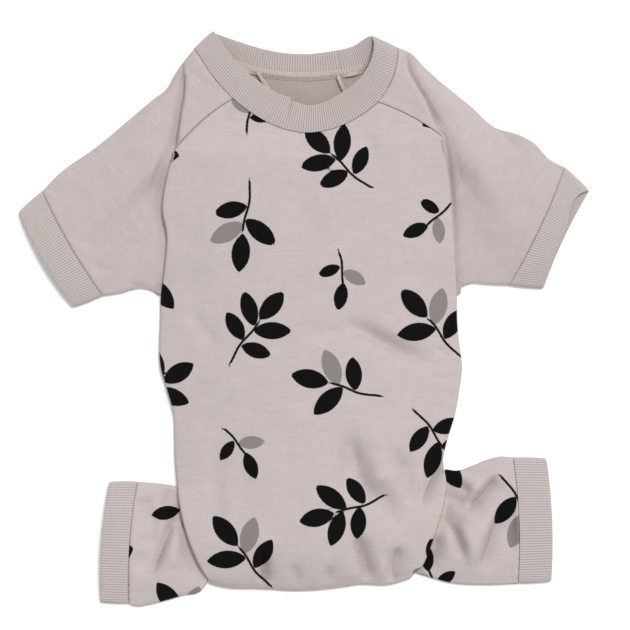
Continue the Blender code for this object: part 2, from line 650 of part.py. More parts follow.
def point_outward(body):
    """Turns an open wall's faces so that the topmost one faces up."""
    mesh = body.data
    highest = max(mesh.polygons, key=lambda face: face.center.z)
    if highest.normal.z < 0:
        mesh.flip_normals()


def band(name, seam, free, normal, profile):
    """A closed ribbed band between its seam line and its free edge, both closed loops.

    profile holds, for each point round the band's section, its share of the width from the seam and
    its share of the wall from the outer face inwards.
    """
    seam, free, normal = (np.asarray(line) for line in (seam, free, normal))
    ridge = (np.arange(len(seam)) % 2) * RIB_DEPTH
    rings = []
    for share, depth in profile:
        sink = depth * RIB_WALL + ridge * (depth <= 0.5)
        rings.append(seam + (free - seam) * share - normal * sink[:, None])
    points = np.stack(rings, 1)
    count, section = points.shape[:2]
    i, j = np.meshgrid(np.arange(count), np.arange(section), indexing="ij")
    after, beside = (i + 1) % count, (j + 1) % section
    here, there = i * section, after * section
    faces = np.stack([here + j, there + j, there + beside, here + beside], -1)
    body = mesh_object(name, points.reshape(-1, 3), faces.reshape(-1, 4), "rib")
    tidy(body)
    return body


def even_loop(loop, pitch):
    """A closed loop of rows resampled at an even number of equal steps along its first three columns."""
    closed = np.concatenate([loop, loop[:1]])
    length = np.concatenate([[0], np.cumsum(np.linalg.norm(np.diff(closed[:, :3], axis=0), axis=1))])
    count = 2 * int(round(length[-1] / pitch))
    at = np.linspace(0, length[-1], count, endpoint=False)
    return np.stack([np.interp(at, length, column) for column in closed.T], 1)


BAND_PROFILE = ((0, 0), (0.94, 0), (1, 0.5), (0.94, 1), (0, 1))


def neckband():
    at = np.linspace(0, NECK_ROWS, 600, endpoint=False)
    plan, height, lean, reach = neck_seam(at)
    seam = with_height(plan, height + RIB_DEPTH)
    tip = plan + (reach * NECKBAND_WIDTH)[:, None] * direction(lean)
    free = with_height(tip, RIB_DEPTH + NECKBAND_EDGE[0] + height * NECKBAND_EDGE[1])
    along = (np.roll(free + seam, -1, 0) - np.roll(free + seam, 1, 0)) / 2
    normal = np.cross(free - seam, along)
    normal /= np.linalg.norm(normal, axis=1)[:, None]
    front = np.argmax(height)
    normal *= np.sign(normal[front, 2]) or 1
    loop = even_loop(np.concatenate([seam, free, normal], 1), RIB_PITCH)
    return band("neckband", loop[:, :3], loop[:, 3:6], loop[:, 6:], BAND_PROFILE)


def flat_loop(mouth, behind, height):
    """A closed loop round a flattened mouth: over from the lower to the upper end, and back under."""
    s = steps(80)
    plan = mouth_line(mouth, behind, (s + 1) / 2)
    inside = np.linalg.norm(mouth[1] - mouth[0]) / 2 * (1 - np.abs(s))
    over = LIMB_ROLL * (1 + rolled(inside, LIMB_ROLL)) + (height - 2 * LIMB_ROLL) * (1 - np.abs(s) ** CROWN)
    under = LIMB_ROLL * (1 - rolled(inside, 1.5 * LIMB_ROLL))
    loop = np.concatenate([with_height(plan, over)[:-1], with_height(plan, under)[:0:-1]])
    return loop, np.concatenate([over[:-1] > LIMB_ROLL * 1.01, np.zeros(len(s) - 1, bool)])


def cuff(name, mouth, behind, heading, length, grip, gape):
    out = direction(heading)
    start = mouth + out * BAND_GAP
    middle = start.mean(0)
    end = middle + (start - middle) * grip + out * length
    seam, over = flat_loop(start, behind, CUFF_LOFT)
    free, _ = flat_loop(end, behind, CUFF_LOFT * 0.94)
    free[:, :2] -= out * (gape * over * np.clip((seam[:, 2] - LIMB_ROLL) / LIMB_ROLL, 0, 1))[:, None]
    lift = np.array([0, 0, RIB_DEPTH])
    loop = even_loop(np.concatenate([seam + lift, free + lift], 1), RIB_PITCH)
    seam, free = loop[:, :3], loop[:, 3:]
    along = np.roll(seam, -1, 0) - np.roll(seam, 1, 0)
    normal = np.cross(along, free - seam)
    normal /= np.linalg.norm(normal, axis=1)[:, None]
    normal *= np.sign(normal[np.argmax(seam[:, 2]), 2])
    return band(name, seam, free, normal, BAND_PROFILE)


def neck_allowance():
    """The strip of trimmed seam allowance that shows across the back of the neck."""
    at = np.linspace(*ALLOWANCE_ENDS, 15)
    plan, _, lean, _ = neck_seam(at)
    square = direction(lean)
    height = RIB_WALL + RIB_DEPTH + ALLOWANCE_GAP
    rings = []
    for share, up in ((-0.5, 0), (0.5, 0), (0.5, 1), (-0.5, 1)):
        rings.append(with_height(plan + square * NECK_ALLOWANCE * share, height + up * JERSEY))
    points = np.stack(rings, 1)
    count = len(at)
    i, j = np.meshgrid(np.arange(count - 1), np.arange(4), indexing="ij")
    here, there, beside = i * 4, (i + 1) * 4, (j + 1) % 4
    sides = np.stack([here + j, there + j, there + beside, here + beside], -1).reshape(-1, 4)
    ends = np.array([np.arange(4), 4 * count - 1 - np.arange(4)])
    body = mesh_object("neck_seam_allowance", points.reshape(-1, 3), np.concatenate([sides, ends]), "jersey")
    tidy(body)
    return body


def main():
    for old in list(bpy.data.objects):
        bpy.data.objects.remove(old)
    body_over, body_under = body_rows()
    yoke_over, yoke_under = yoke(body_over[-1], body_under[-1])
    over = np.concatenate([body_over, yoke_over[1:]])
    under = np.concatenate([body_under, yoke_under[1:]])
    cloth("torso", (over, under), (REAR_ROWS, REAR_COLUMNS))
    for side, label in ((LEFT, "left"), (RIGHT, "right")):
        for limb, grids, *sizes in (
            ("sleeve", sleeve, SLEEVE_CUFF_HEADING, SLEEVE_CUFF_LENGTH, SLEEVE_CUFF_GRIP, CUFF_GAPE),
            ("leg", leg, LEG_CUFF_HEADING, LEG_CUFF_LENGTH, LEG_CUFF_GRIP, (0.0, 0.0)),
        ):
            over, under, mouth = grids(side, limb + "_" + label)
            cloth(limb + "_" + label, (over, under))
            behind = (over[0, 0, :2] + over[0, -1, :2]) / 2
            heading, length, grip, gape = (size[side] for size in sizes)
            cuff(limb + "_cuff_" + label, mouth, behind, heading, length, grip, gape)
    neckband()
    neck_allowance()
    centre_on_footprint()


def centre_on_footprint():
    """Moves every mesh so that the origin is the middle of the footprint, on the surface."""
    corners = np.concatenate([[tuple(v.co) for v in body.data.vertices] for body in bpy.data.objects])
    low, high = corners.min(0), corners.max(0)
    shift = np.array([-(low[0] + high[0]) / 2, -(low[1] + high[1]) / 2, -low[2]])
    for body in bpy.data.objects:
        places = np.array([tuple(v.co) for v in body.data.vertices]) + shift
        body.data.vertices.foreach_set("co", places.ravel())
        body.data.update()


main()
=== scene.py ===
"""Dresses the dog jumpsuit: fine cloth, ribbed bands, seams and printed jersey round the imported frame.

Lengths are in metres unless a name or comment says otherwise. Plans are worked out in the body's own
frame, whose origin is the middle of the underarm line with +Y to the neck and +X to the right, and
Garment.place moves them into the row frame.
"""

from __future__ import annotations

import logging
from dataclasses import dataclass, field
from enum import Enum, IntEnum
from typing import Sequence

import bmesh
import bpy
import numpy as np
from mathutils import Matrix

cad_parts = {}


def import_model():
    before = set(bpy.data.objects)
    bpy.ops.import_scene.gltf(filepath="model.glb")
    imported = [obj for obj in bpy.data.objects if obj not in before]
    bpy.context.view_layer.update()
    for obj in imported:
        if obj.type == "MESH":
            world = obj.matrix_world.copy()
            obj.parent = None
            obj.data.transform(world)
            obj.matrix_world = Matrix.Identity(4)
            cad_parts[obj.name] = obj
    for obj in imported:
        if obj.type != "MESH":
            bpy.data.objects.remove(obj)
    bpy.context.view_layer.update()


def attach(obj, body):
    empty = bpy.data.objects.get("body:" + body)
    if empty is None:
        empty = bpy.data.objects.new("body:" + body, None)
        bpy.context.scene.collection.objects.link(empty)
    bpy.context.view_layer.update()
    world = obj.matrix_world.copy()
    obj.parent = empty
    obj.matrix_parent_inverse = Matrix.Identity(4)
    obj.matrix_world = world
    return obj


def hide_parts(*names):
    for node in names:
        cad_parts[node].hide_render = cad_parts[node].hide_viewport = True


LOG = logging.getLogger("jumpsuit")
Array = np.ndarray

# The middle of the underarm line in the row frame.
UNDERARM_LINE = (0.00366, 0.01874)
# The photograph shows this much of the floor, centred here in the row frame.
VIEW_WIDTH = 0.4725
VIEW_CENTRE = (0.0081, 0.00315)
CAMERA_HEIGHT = 2.2

JERSEY = 0.0012  # wall of body, sleeves and legs
RIB_WALL = 0.0020  # two layers of rib
SEAM_GAP = 0.0004  # between two sewn edges of jersey
BAND_GAP = 0.0003  # between a ribbed band and the jersey that it is sewn to
CROWN = 2.1  # power of the bell that lies across the body, a sleeve and a leg
CREASE = 0.0016  # a fold pressed flat turns within this distance of its edge
LIMB_ROLL = 0.0030  # radius of the folds along a sleeve or a leg
CUFF_LOFT = 0.0135
MOUTH_BOW = 0.022  # of a cuff seam towards the cuff, as a share of its length
LEAST = 0.0030  # pressed down, a limb's upper half stays this high over what lies under it
WELD = 0.00001  # points of neighbouring grids that are this near are one


class Side(IntEnum):
    """Left or right, as seen from above."""

    LEFT = 0
    RIGHT = 1

    @property
    def outward(self) -> int:
        """The sign of x on this side."""
        return (-1, 1)[self]

    @property
    def label(self) -> str:
        """The side's name as the frame's nodes have it."""
        return ("left", "right")[self]


class Slot(Enum):
    """Kinds of material that the pieces are dressed in."""

    PRINTED = "printed_jersey"
    PLAIN = "plain_jersey"
    RIB = "rib_knit"
    ALLOWANCE = "seam_allowance"


class Motif(Enum):
    """The sprigs of the print."""

    SPRIG = "five black leaves on a stem"
    SHADED = "three black leaves and a grey one"
    SMALL = "two black leaves and a grey one, on a short stem"


def table(columns: str, *rows: Sequence[float]) -> dict[str, Array]:
    """Rows of numbers as one array for each named column."""
    return dict(zip(columns.split(), np.array(rows, float).T))


# The body's side folds below the underarm: share of the way to the rump, shares of half the chest.
SIDES = table(
    "down left right",
    (0, 1, 0.997), (0.1, 1.005, 1), (0.18, 1.01, 1.016), (0.25, 1, 1.032), (0.32, 0.96, 1.016),
    (0.41, 0.915, 0.984), (0.5, 0.908, 0.93), (0.56, 0.905, 0.905), (0.65, 0.89, 0.925),
    (0.73, 0.868, 0.9), (0.83, 0.815, 0.838), (0.9, 0.758, 0.786), (0.95, 0.713, 0.745),
    (1, 0.668, 0.684),
)
# How far the rump's edge reaches across the body, from its left side at -1 to its right side at 1.
RUMP = table(
    "across reach",
    (-1, 0.985), (-0.85, 0.998), (-0.5, 1.002), (0, 1.008), (0.25, 1), (0.5, 0.988), (0.8, 0.988),
    (1, 0.968),
)
# The fold where the body lies over a sleeve, from the underarm to the raglan seam's visible end.
ARM_FOLD = table(
    "along left left_rise right right_rise",
    (0, 1, 0, 0.997, 0), (0.2, 0.971, 0.123, 0.988, 0.13), (0.4, 0.958, 0.24, 0.971, 0.279),
    (0.58, 0.988, 0.342, 0.959, 0.38), (0.8, 0.958, 0.474, 0.936, 0.5), (1, 0.899, 0.583, 0.886, 0.64),
)
# Round the neck seam from the left shoulder over the front: shares of half the neck's width, of its
# drop and of its loft, the lean of the band's ribs in degrees, and the share of its width seen.
NECK_SEAM = table(
    "across drop height lean reach",
    (-1, 0, 0.5, 42, 0.9), (-0.945, 0.105, 0.88, 44, 0.92), (-0.812, 0.345, 1, 49, 0.96),
    (-0.614, 0.607, 1, 54, 1.03), (-0.366, 0.827, 1, 62, 1.06), (-0.1, 0.97, 1, 75, 1.03),
    (0.178, 1.005, 1, 90, 0.96), (0.495, 0.899, 1, 112, 1.02), (0.802, 0.649, 1, 141, 1.05),
    (0.955, 0.345, 1, 158, 0.95), (1, 0.095, 0.88, 163, 0.88), (0.99, -0.012, 0.5, 158, 0.88),
    (0.92, 0.024, 0.13, 143, 0.85), (0.653, 0.238, 0, 110, 0.86), (0.346, 0.31, 0, 97, 0.82),
    (0.02, 0.333, 0, 90, 0.8), (-0.327, 0.286, 0, 81, 0.82), (-0.663, 0.167, 0, 70, 0.82),
    (-0.92, 0.04, 0.13, 55, 0.79),
)
NECK_ROWS = len(NECK_SEAM["across"])
# How a limb's silhouette bows off the straight line between its ends, in shares of that line.
SLEEVE_UPPER = (
    table(
        "along bow",
        (0, 0), (0.15, -0.024), (0.23, -0.049), (0.31, -0.042), (0.43, -0.036), (0.67, -0.022),
        (0.89, 0.006), (1, 0),
    ),
    table(
        "along bow",
        (0, 0), (0.07, 0.017), (0.17, 0), (0.46, -0.024), (0.63, -0.036), (0.71, -0.006), (0.81, 0.009),
        (0.92, -0.012), (1, 0),
    ),
)
SLEEVE_LOWER = (
    table("along bow", (0, 0), (0.19, -0.1), (0.39, -0.127), (0.63, -0.05), (1, 0)),
    table("along bow", (0, 0), (0.1, -0.12), (0.29, -0.17), (0.57, -0.1), (1, 0)),
)
LEG_UPPER = (
    table("along bow", (0, 0), (0.5, 0.015), (1, 0)),
    table("along bow", (0, 0), (0.15, -0.047), (0.36, -0.022), (0.6, 0.028), (0.82, 0.044), (1, 0)),
)
LEG_LOWER = (
    table(
        "along bow",
        (0, 0), (0.08, 0.07), (0.35, 0.08), (0.55, 0.083), (0.76, 0.08), (0.95, 0.04), (1, 0),
    ),
    table("along bow", (0, 0), (0.2, 0.041), (0.4, 0.065), (0.62, 0.053), (0.83, 0.03), (1, 0)),
)
# How wide a cuff's upper layer is drawn back from the lower one, up the mouth.
GAPE = table(
    "up wide",
    (0, 0.15), (0.27, 0.23), (0.43, 0.28), (0.63, 0.42), (0.73, 0.8), (0.82, 1), (0.9, 0.9), (1, 0.2),
)


def curve(knots: Array, values: Array, at: Array, steady: bool = False) -> Array:
    """Values on a smooth curve through given knots.

    Each step is a cubic whose ends take the knots' values and slopes. A steady curve never passes
    beyond its knots: its slopes are the harmonic means of the neighbouring ones.

    Args:
        knots: Rising places of the knots.
        values: A value, or a row of values, at each knot.
        at: The places asked for.
        steady: Whether the curve keeps between its knots.

    Returns:
        The values at those places.
    """
    knots, values, at = np.asarray(knots, float), np.asarray(values, float), np.asarray(at, float)
    if steady:
        steep = np.diff(values) / np.diff(knots)
        both = steep[1:] * steep[:-1]
        mean = np.where(both > 0, 2 * both / np.where(both > 0, steep[1:] + steep[:-1], 1), 0)
        slope = np.concatenate([steep[:1], mean, steep[-1:]])
    else:
        slope = np.gradient(values, knots, axis=0)
    step = np.clip(np.searchsorted(knots, at, side="right") - 1, 0, len(knots) - 2)
    width = knots[step + 1] - knots[step]
    t = (at - knots[step]) / width
    if values.ndim > 1:
        t, width = t[..., None], width[..., None]
    ends = (2 * t**3 - 3 * t**2 + 1) * values[step] + (3 * t**2 - 2 * t**3) * values[step + 1]
    return ends + width * ((t**3 - 2 * t**2 + t) * slope[step] + (t**3 - t**2) * slope[step + 1])


def smooth(share: Array) -> Array:
    """0 at 0 or less and 1 at 1 or more, with a soft start and end."""
    share = np.clip(share, 0, 1)
    return share * share * (3 - 2 * share)


def mix(first: Array | float, second: Array | float, share: Array) -> Array:
    """The first value where the share is 0, the second where it is 1."""
    return first * (1 - share) + second * share


def unit(vectors: Array) -> Array:
    """The vectors at length 1."""
    return vectors / np.maximum(np.linalg.norm(vectors, axis=-1, keepdims=True), 1e-12)


def square_to(vector: Array) -> Array:
    """A plan vector turned a quarter to the left."""
    return np.array([-vector[1], vector[0]])


def arc_lengths(points: Array) -> Array:
    """How far along its polyline each point is."""
    return np.concatenate([[0], np.cumsum(np.linalg.norm(np.diff(points, axis=0), axis=1))])


def direction(degrees: Array) -> Array:
    """Unit vectors at these angles from +X."""
    return np.stack([np.cos(np.radians(degrees)), np.sin(np.radians(degrees))], -1)


def rolled(distance: Array, radius: float) -> Array:
    """Share of its radius that a rolled edge, a quarter circle, has risen at a distance inside it."""
    return np.sqrt(1 - (1 - np.clip(distance / radius, 0, 1)) ** 2)


def with_height(plan: Array, height: Array) -> Array:
    """Plan points with their heights as a third coordinate."""
    return np.concatenate([plan, np.broadcast_to(height, plan.shape[:-1])[..., None]], -1)


def sideways(points: Array, towards: Array) -> Array:
    """Unit vectors square to a plan curve, on the side of a point."""
    along = np.gradient(points, axis=0)
    normal = unit(np.stack([-along[:, 1], along[:, 0]], axis=1))
    return normal * np.sign(((towards - points) * normal).sum(1))[:, None]


def coons(start: Array, end: Array, low: Array, high: Array, weight: Array, along: Array) -> Array:
    """Plan points of a patch between its start and end rows and its low and high sides.

    The patch is the rows' blend plus the sides' blend less the blend of the four corners.

    Args:
        start: Points of the first row, from the low side to the high side.
        end: Points of the last row.
        low: Points of the low side, from the first row to the last.
        high: Points of the high side.
        weight: Share of the high side in each column.
        along: Share of the last row in each row.

    Returns:
        An array of rows, columns and two coordinates.
    """
    across, along = weight[None, :, None], along[:, None, None]
    rows = mix(start[None], end[None], along)
    sides = mix(low[:, None], high[:, None], across)
    corners = mix(mix(start[0], start[-1], across), mix(end[0], end[-1], across), along)
    return rows + sides - corners


def mouth_line(ends: Array, behind: Array, weight: Array) -> Array:
    """The cuff seam's plan points between its two ends, bowed away from a point behind it."""
    chord = ends[1] - ends[0]
    away = square_to(chord)
    away = away * np.sign(away @ (ends.mean(0) - behind)) * MOUTH_BOW
    return ends[0] + chord * weight[:, None] + away * (4 * weight * (1 - weight))[:, None]


def edge_spacing(length: float, roll: float, step: float) -> Array:
    """Shares from -1 to 1 across a cloth that rolls under at both edges.

    The rolls are cut at even angles of their quarter circles and the rest at even steps.
    """
    turn = 1 - np.cos(np.linspace(0, np.pi / 2, 8)[:-1])
    inner = np.linspace(roll, length - roll, max(int((length - 2 * roll) / step), 2) + 1)
    places = np.concatenate([roll * turn, inner, length - roll * turn[::-1]])
    return 2 * places / length - 1


def nearest(points: Array, line: Array) -> tuple[Array, Array]:
    """Distance from each plan point to a plan polyline, and how far along the line its foot is.

    Args:
        points: Plan points in any array shape.
        line: The polyline's points.

    Returns:
        Signed distances, positive to the left of the line, and arc lengths.
    """
    flat = points.reshape(-1, 2)
    best = np.full(len(flat), np.inf)
    arc = np.zeros(len(flat))
    sign = np.ones(len(flat))
    run = 0.0
    for a, b in zip(line[:-1], line[1:]):
        step = b - a
        size = np.linalg.norm(step)
        if size < 1e-9:
            continue
        way = step / size
        t = np.clip((flat - a) @ way, 0, size)
        away = flat - a - t[:, None] * way
        distance = np.linalg.norm(away, axis=1)
        closer = distance < best
        best = np.where(closer, distance, best)
        arc = np.where(closer, run + t, arc)
        sign = np.where(closer, np.sign(way[0] * away[:, 1] - way[1] * away[:, 0]), sign)
        run += size
    shape = points.shape[:-1]
    return (best * np.where(sign == 0, 1, sign)).reshape(shape), arc.reshape(shape)


@dataclass(frozen=True)
class Fold:
    """A crease of the cloth along a smooth plan path, as a long dent or ridge of bell section.

    Attributes:
        path: Places in millimetres in the body's frame.
        width: Half width in millimetres.
        depth: Depth in millimetres, negative for a ridge.
        lean: From -1 to 1, where the slope is steeper; positive is to the right of the path.
        ends: Share of the path over which it fades at each end.
        power: Of the bell: 2 is round, and less has a sharper bottom.
        crisp: Depth in millimetres of the sharp line at its bottom, which is finer than the grids; the
            shader bumps the cloth by it and darkens the colour there as painted shade.
    """

    path: tuple[tuple[float, float], ...]
    width: float
    depth: float
    lean: float = 0.0
    ends: float = 0.35
    power: float = 2.0
    crisp: float = 0.0

    def line(self) -> Array:
        """The path's points in metres, on a smooth curve through the given places."""
        given = np.array(self.path, float) / 1000
        if len(given) == 2:
            return given[0] + (given[1] - given[0]) * np.linspace(0, 1, 9)[:, None]
        return curve(np.arange(len(given)), given, np.linspace(0, len(given) - 1, 10 * len(given)))

    def across(self, points: Array) -> tuple[Array, Array]:
        """Signed distance of plan points to the path in metres, and the fold's fade, 0 to 1."""
        line = self.line()
        distance, arc = nearest(points, line)
        along = arc / arc_lengths(line)[-1]
        return distance, smooth(along / self.ends) * smooth((1 - along) / self.ends)

    def dent(self, points: Array) -> Array:
        """The dent's depth in metres at plan points: bell across the path, faded along it."""
        distance, fade = self.across(points)
        width = self.width / 1000 * (1 + self.lean * np.sign(distance))
        return self.depth / 1000 * fade * np.exp(-(np.abs(distance / width) ** self.power))


def dents(points: Array, folds: Sequence[Fold]) -> Array:
    """The sum of the folds' depths at plan points."""
    total = np.zeros(points.shape[:-1])
    for one in folds:
        total = total + one.dent(points)
    return total


def pressed(top: Array, floor: Array, depth: Array) -> Array:
    """Heights with dents pressed in, which stop softly above the floor; ridges are added whole."""
    room = np.maximum(top - floor, 0.0002)
    return top - np.where(depth > 0, room * np.tanh(depth / room), depth)


def creases(points: Array, folds: Sequence[Fold], shown: bool = True) -> dict[str, Array]:
    """The sharp lines at the folds' bottoms, which the shader draws between the grid's points as a bump
    and as painted shade.

    Args:
        points: Plan points.
        folds: The cloth's folds.
        shown: Whether these points are on the face that has the folds.

    Returns:
        For the fold that matters most at each point: how far away it lies in millimetres, positive
        on its steep side, and how deep it is there.
    """
    aside, deep, most, second = (np.zeros(points.shape[:-1]) for _ in range(4))
    for one in folds if shown else ():
        distance, fade = one.across(points)
        away = np.clip(-1000 * distance * (np.sign(one.lean) or 1), -9, 9)
        depth = one.crisp * fade * smooth((8 - np.abs(away)) / 5)
        weight = depth * np.exp(-np.abs(away) / 2.5)
        stronger = weight > most
        second = np.where(stronger, most, np.maximum(second, weight))
        aside, deep = np.where(stronger, away, aside), np.where(stronger, depth, deep)
        most = np.maximum(most, weight)
    # Where two folds matter alike neither is drawn, so that no line runs between them.
    alone = smooth((0.2 - second / np.maximum(most, 1e-9)) / 0.15)
    return {"crease_aside": aside, "crease_deep": deep * alone}


def ripple(points: Array, seed: int, size: float, depth: float = 0.0005) -> Array:
    """Slow unevenness of a lying cloth: a sum of seeded sine waves in many directions.

    Args:
        points: Plan points.
        seed: Seed of the waves' headings and phases.
        size: Mean wavelength.
        depth: Height of the unevenness, from its middle.

    Returns:
        A height at each point.
    """
    random = np.random.default_rng(seed)
    total = np.zeros(points.shape[:-1])
    for _ in range(14):
        way = direction(random.uniform(0, 360)) / (size * random.uniform(0.6, 1.6))
        total = total + np.sin(2 * np.pi * (points @ way) + random.uniform(0, 2 * np.pi))
    return depth * total / np.sqrt(14)


def seam_relief(points: Array, line: Array, seed: int, pucker: float = 0.00022) -> Array:
    """How far cloth sinks beside a seam: its edge turns down, and small puckers cross it.

    Args:
        points: Plan points of the cloth.
        line: The seam's plan points.
        seed: Seed of the puckers.
        pucker: Depth of the puckers.

    Returns:
        A depth at each point.
    """
    distance, arc = nearest(points, line)
    away = np.abs(distance)
    random = np.random.default_rng(seed)
    waves = np.zeros(points.shape[:-1])
    for length in (0.0046, 0.0063, 0.0091):
        length *= random.uniform(0.9, 1.1)
        waves = waves + np.sin(2 * np.pi * arc / length + random.uniform(0, 6))
    # A narrow groove at the seam, a low swell beside it, and puckers over a wider strip.
    turned = 0.0008 * np.exp(-((away / 0.0008) ** 2))
    swell = -0.00025 * np.exp(-(((away - 0.0035) / 0.0022) ** 2))
    return turned + swell + pucker * waves / 2 * np.exp(-away / 0.0045)


def linear(hex_code: str) -> tuple[float, float, float, float]:
    """An sRGB hex colour as linear light."""
    parts = np.array([int(hex_code[i : i + 2], 16) for i in (1, 3, 5)]) / 255
    light = np.where(parts <= 0.04045, parts / 12.92, ((parts + 0.055) / 1.055) ** 2.4)
    return (*map(float, light), 1.0)


@dataclass
class Patch:
    """A grid of cloth.

    Attributes:
        points: Rows, columns and three coordinates.
        plan: Where each point lies on the cloth, as two coordinates in metres.
        flip: Whether the rows and columns run the other way round when seen from outside.
        keep: The cells that are cloth, if some aren't.
    """

    points: Array
    plan: Array
    flip: bool = False
    keep: Array | None = None


def grid_faces(rows: int, columns: int, first: int, keep: Array | None, flip: bool) -> Array:
    """The four corners of each cell of a grid whose first vertex has this number."""
    corner = first + np.arange(rows - 1)[:, None] * columns + np.arange(columns - 1)[None]
    faces = np.stack([corner, corner + 1, corner + columns + 1, corner + columns], -1)
    faces = faces.reshape(-1, 4) if keep is None else faces[keep]
    return faces[:, ::-1] if flip else faces


class Garment:
    """Makes the pieces' meshes and joins them to the frame."""

    def place(self, points: Array) -> Array:
        """Points of the body's frame in the row frame."""
        return points + np.array([*UNDERARM_LINE, 0.0])

    def laid(
        self, name: str, points: Array, faces: list, plan: Array, masks: dict[str, Array] | None = None
    ) -> bpy.types.Object:
        """A piece of the scene from points and faces, with places on the cloth and named values."""
        mesh = bpy.data.meshes.new(name)
        mesh.from_pydata(self.place(points).tolist(), [], faces)
        loops = np.zeros(len(mesh.loops), np.int32)
        mesh.loops.foreach_get("vertex_index", loops)
        mesh.uv_layers.new(name="cloth").data.foreach_set("uv", plan[loops].ravel())
        for label, values in (masks or {}).items():
            mesh.attributes.new(label, "FLOAT", "POINT").data.foreach_set("value", values.ravel())
        piece = bpy.data.objects.new(name, mesh)
        bpy.context.scene.collection.objects.link(piece)
        return piece

    def outward(self, mesh: bpy.types.Mesh, merge: bool) -> None:
        """Turns the faces outwards, where asked after merging the points that fall together."""
        shape = bmesh.new()
        shape.from_mesh(mesh)
        if merge:
            bmesh.ops.remove_doubles(shape, verts=shape.verts, dist=WELD)
            bmesh.ops.delete(shape, geom=[v for v in shape.verts if not v.link_faces], context="VERTS")
        bmesh.ops.recalc_face_normals(shape, faces=shape.faces)
        if merge and max(shape.faces, key=lambda face: face.calc_center_median().z).normal.z < 0:
            bmesh.ops.reverse_faces(shape, faces=shape.faces)
        shape.to_mesh(mesh)
        shape.free()

    def cloth(
        self, name: str, patches: Sequence[Patch], wall: float, masks: dict[str, Array] | None = None
    ) -> bpy.types.Object:
        """A closed wall of cloth from grids that share their edges.

        Points of neighbouring grids that fall together are merged, and the wall's inner face lies
        one thickness inside the grids.

        Args:
            name: The piece's name.
            patches: The outer face's grids.
            wall: The cloth's thickness, or 0 for a mesh that is closed already.
            masks: Values at each point of all the grids in turn, kept as named attributes.

        Returns:
            The piece.
        """
        faces, first = [], 0
        for patch in patches:
            rows, columns = patch.points.shape[:2]
            faces.append(grid_faces(rows, columns, first, patch.keep, patch.flip))
            first += rows * columns
        points = np.concatenate([patch.points.reshape(-1, 3) for patch in patches])
        plan = np.concatenate([patch.plan.reshape(-1, 2) for patch in patches])
        piece = self.laid(name, points, np.concatenate(faces).tolist(), plan, masks)
        self.outward(piece.data, merge=True)
        if wall:
            self.thicken(piece, wall)
        piece.data.polygons.foreach_set("use_smooth", np.ones(len(piece.data.polygons), bool))
        piece.data.set_sharp_from_angle(angle=np.radians(50))
        return piece

    def capped(self, name: str, points: Array, plan: Array) -> bpy.types.Object:
        """A closed piece from a grid whose rows are rings: the rings' ends are filled."""
        rows, count = points.shape[:2]
        ring = np.arange(count)
        after = (ring + 1) % count
        first = (np.arange(rows - 1) * count)[:, None]
        walls = np.stack([first + ring, first + after, first + count + after, first + count + ring], -1)
        ends = [list(range(count)), list(range(rows * count - 1, (rows - 1) * count - 1, -1))]
        faces = walls.reshape(-1, 4).tolist() + ends
        piece = self.laid(name, points.reshape(-1, 3), faces, plan.reshape(-1, 2))
        self.outward(piece.data, merge=False)
        piece.data.polygons.foreach_set("use_smooth", np.ones(len(piece.data.polygons), bool))
        return piece

    def thicken(self, piece: bpy.types.Object, wall: float) -> None:
        """Gives an open cloth its wall inwards, with material 1 on the inner face."""
        solid = piece.modifiers.new("Wall", "SOLIDIFY")
        solid.thickness, solid.offset, solid.use_quality_normals = wall, -1, True
        solid.material_offset, solid.material_offset_rim = 1, 0
        for _ in range(2):
            piece.data.materials.append(None)
        shaped = piece.evaluated_get(bpy.context.evaluated_depsgraph_get())
        made, old = bpy.data.meshes.new_from_object(shaped), piece.data
        piece.modifiers.clear()
        piece.data = made
        bpy.data.meshes.remove(old)
        made.name = piece.name

    def join(
        self,
        piece: bpy.types.Object,
        slot: Slot,
        materials: Sequence[bpy.types.Material],
        node: str = "",
    ) -> None:
        """Dresses a piece, lets it ride on the frame and hides the frame's node that it stands for."""
        slots = piece.data.materials
        while len(slots) < len(materials):
            slots.append(None)
        for i, material in enumerate(materials):
            slots[i] = material
        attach(piece, "root")
        if node:
            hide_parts(node)
        LOG.info("%s: %d faces", piece.name, len(piece.data.polygons))


@dataclass(frozen=True)
class Neck:
    """The neck seam, which body, sleeves and neckband share."""

    width: float = 0.1515
    drop: float = 0.0630
    shift: float = -0.0098
    loft: float = 0.0150
    top: float = 0.184
    front_corner: tuple[float, float] = (3.0, 8.0)
    shoulder: tuple[float, float] = (0.0, 11.0)
    back_corner: tuple[float, float] = (17.0, 13.0)
    nick: float = 0.015

    def seam(self, at: Array) -> tuple[Array, Array, Array, Array]:
        """Plan points, heights, lean and reach at places along the seam, in rows of its table."""
        knots = np.arange(-2, NECK_ROWS + 3)
        columns = np.stack(list(NECK_SEAM.values()), axis=1)[knots % NECK_ROWS]
        found = curve(knots.astype(float), columns, np.mod(at, NECK_ROWS))
        across, drop, height, lean, reach = np.moveaxis(found, -1, 0)
        plan = np.stack([self.shift + across * self.width / 2, self.top - drop * self.drop], -1)
        return plan, self.loft * np.clip(height, 0, 1), lean, reach

    def edge(self, first: float, last: float, share: Array) -> Array:
        """The edge that body or sleeve sews to the neckband, at shares of that stretch."""
        plan, height, lean, _ = self.seam(first + (last - first) * share)
        return with_height(plan - BAND_GAP * direction(lean), height)

    def corner(self, at: float) -> Array:
        """That edge's point at one place."""
        return self.edge(at, at, np.zeros(1))[0]

    def line(self) -> Array:
        """The whole seam's plan points."""
        return self.seam(np.linspace(0, NECK_ROWS, 241))[0]


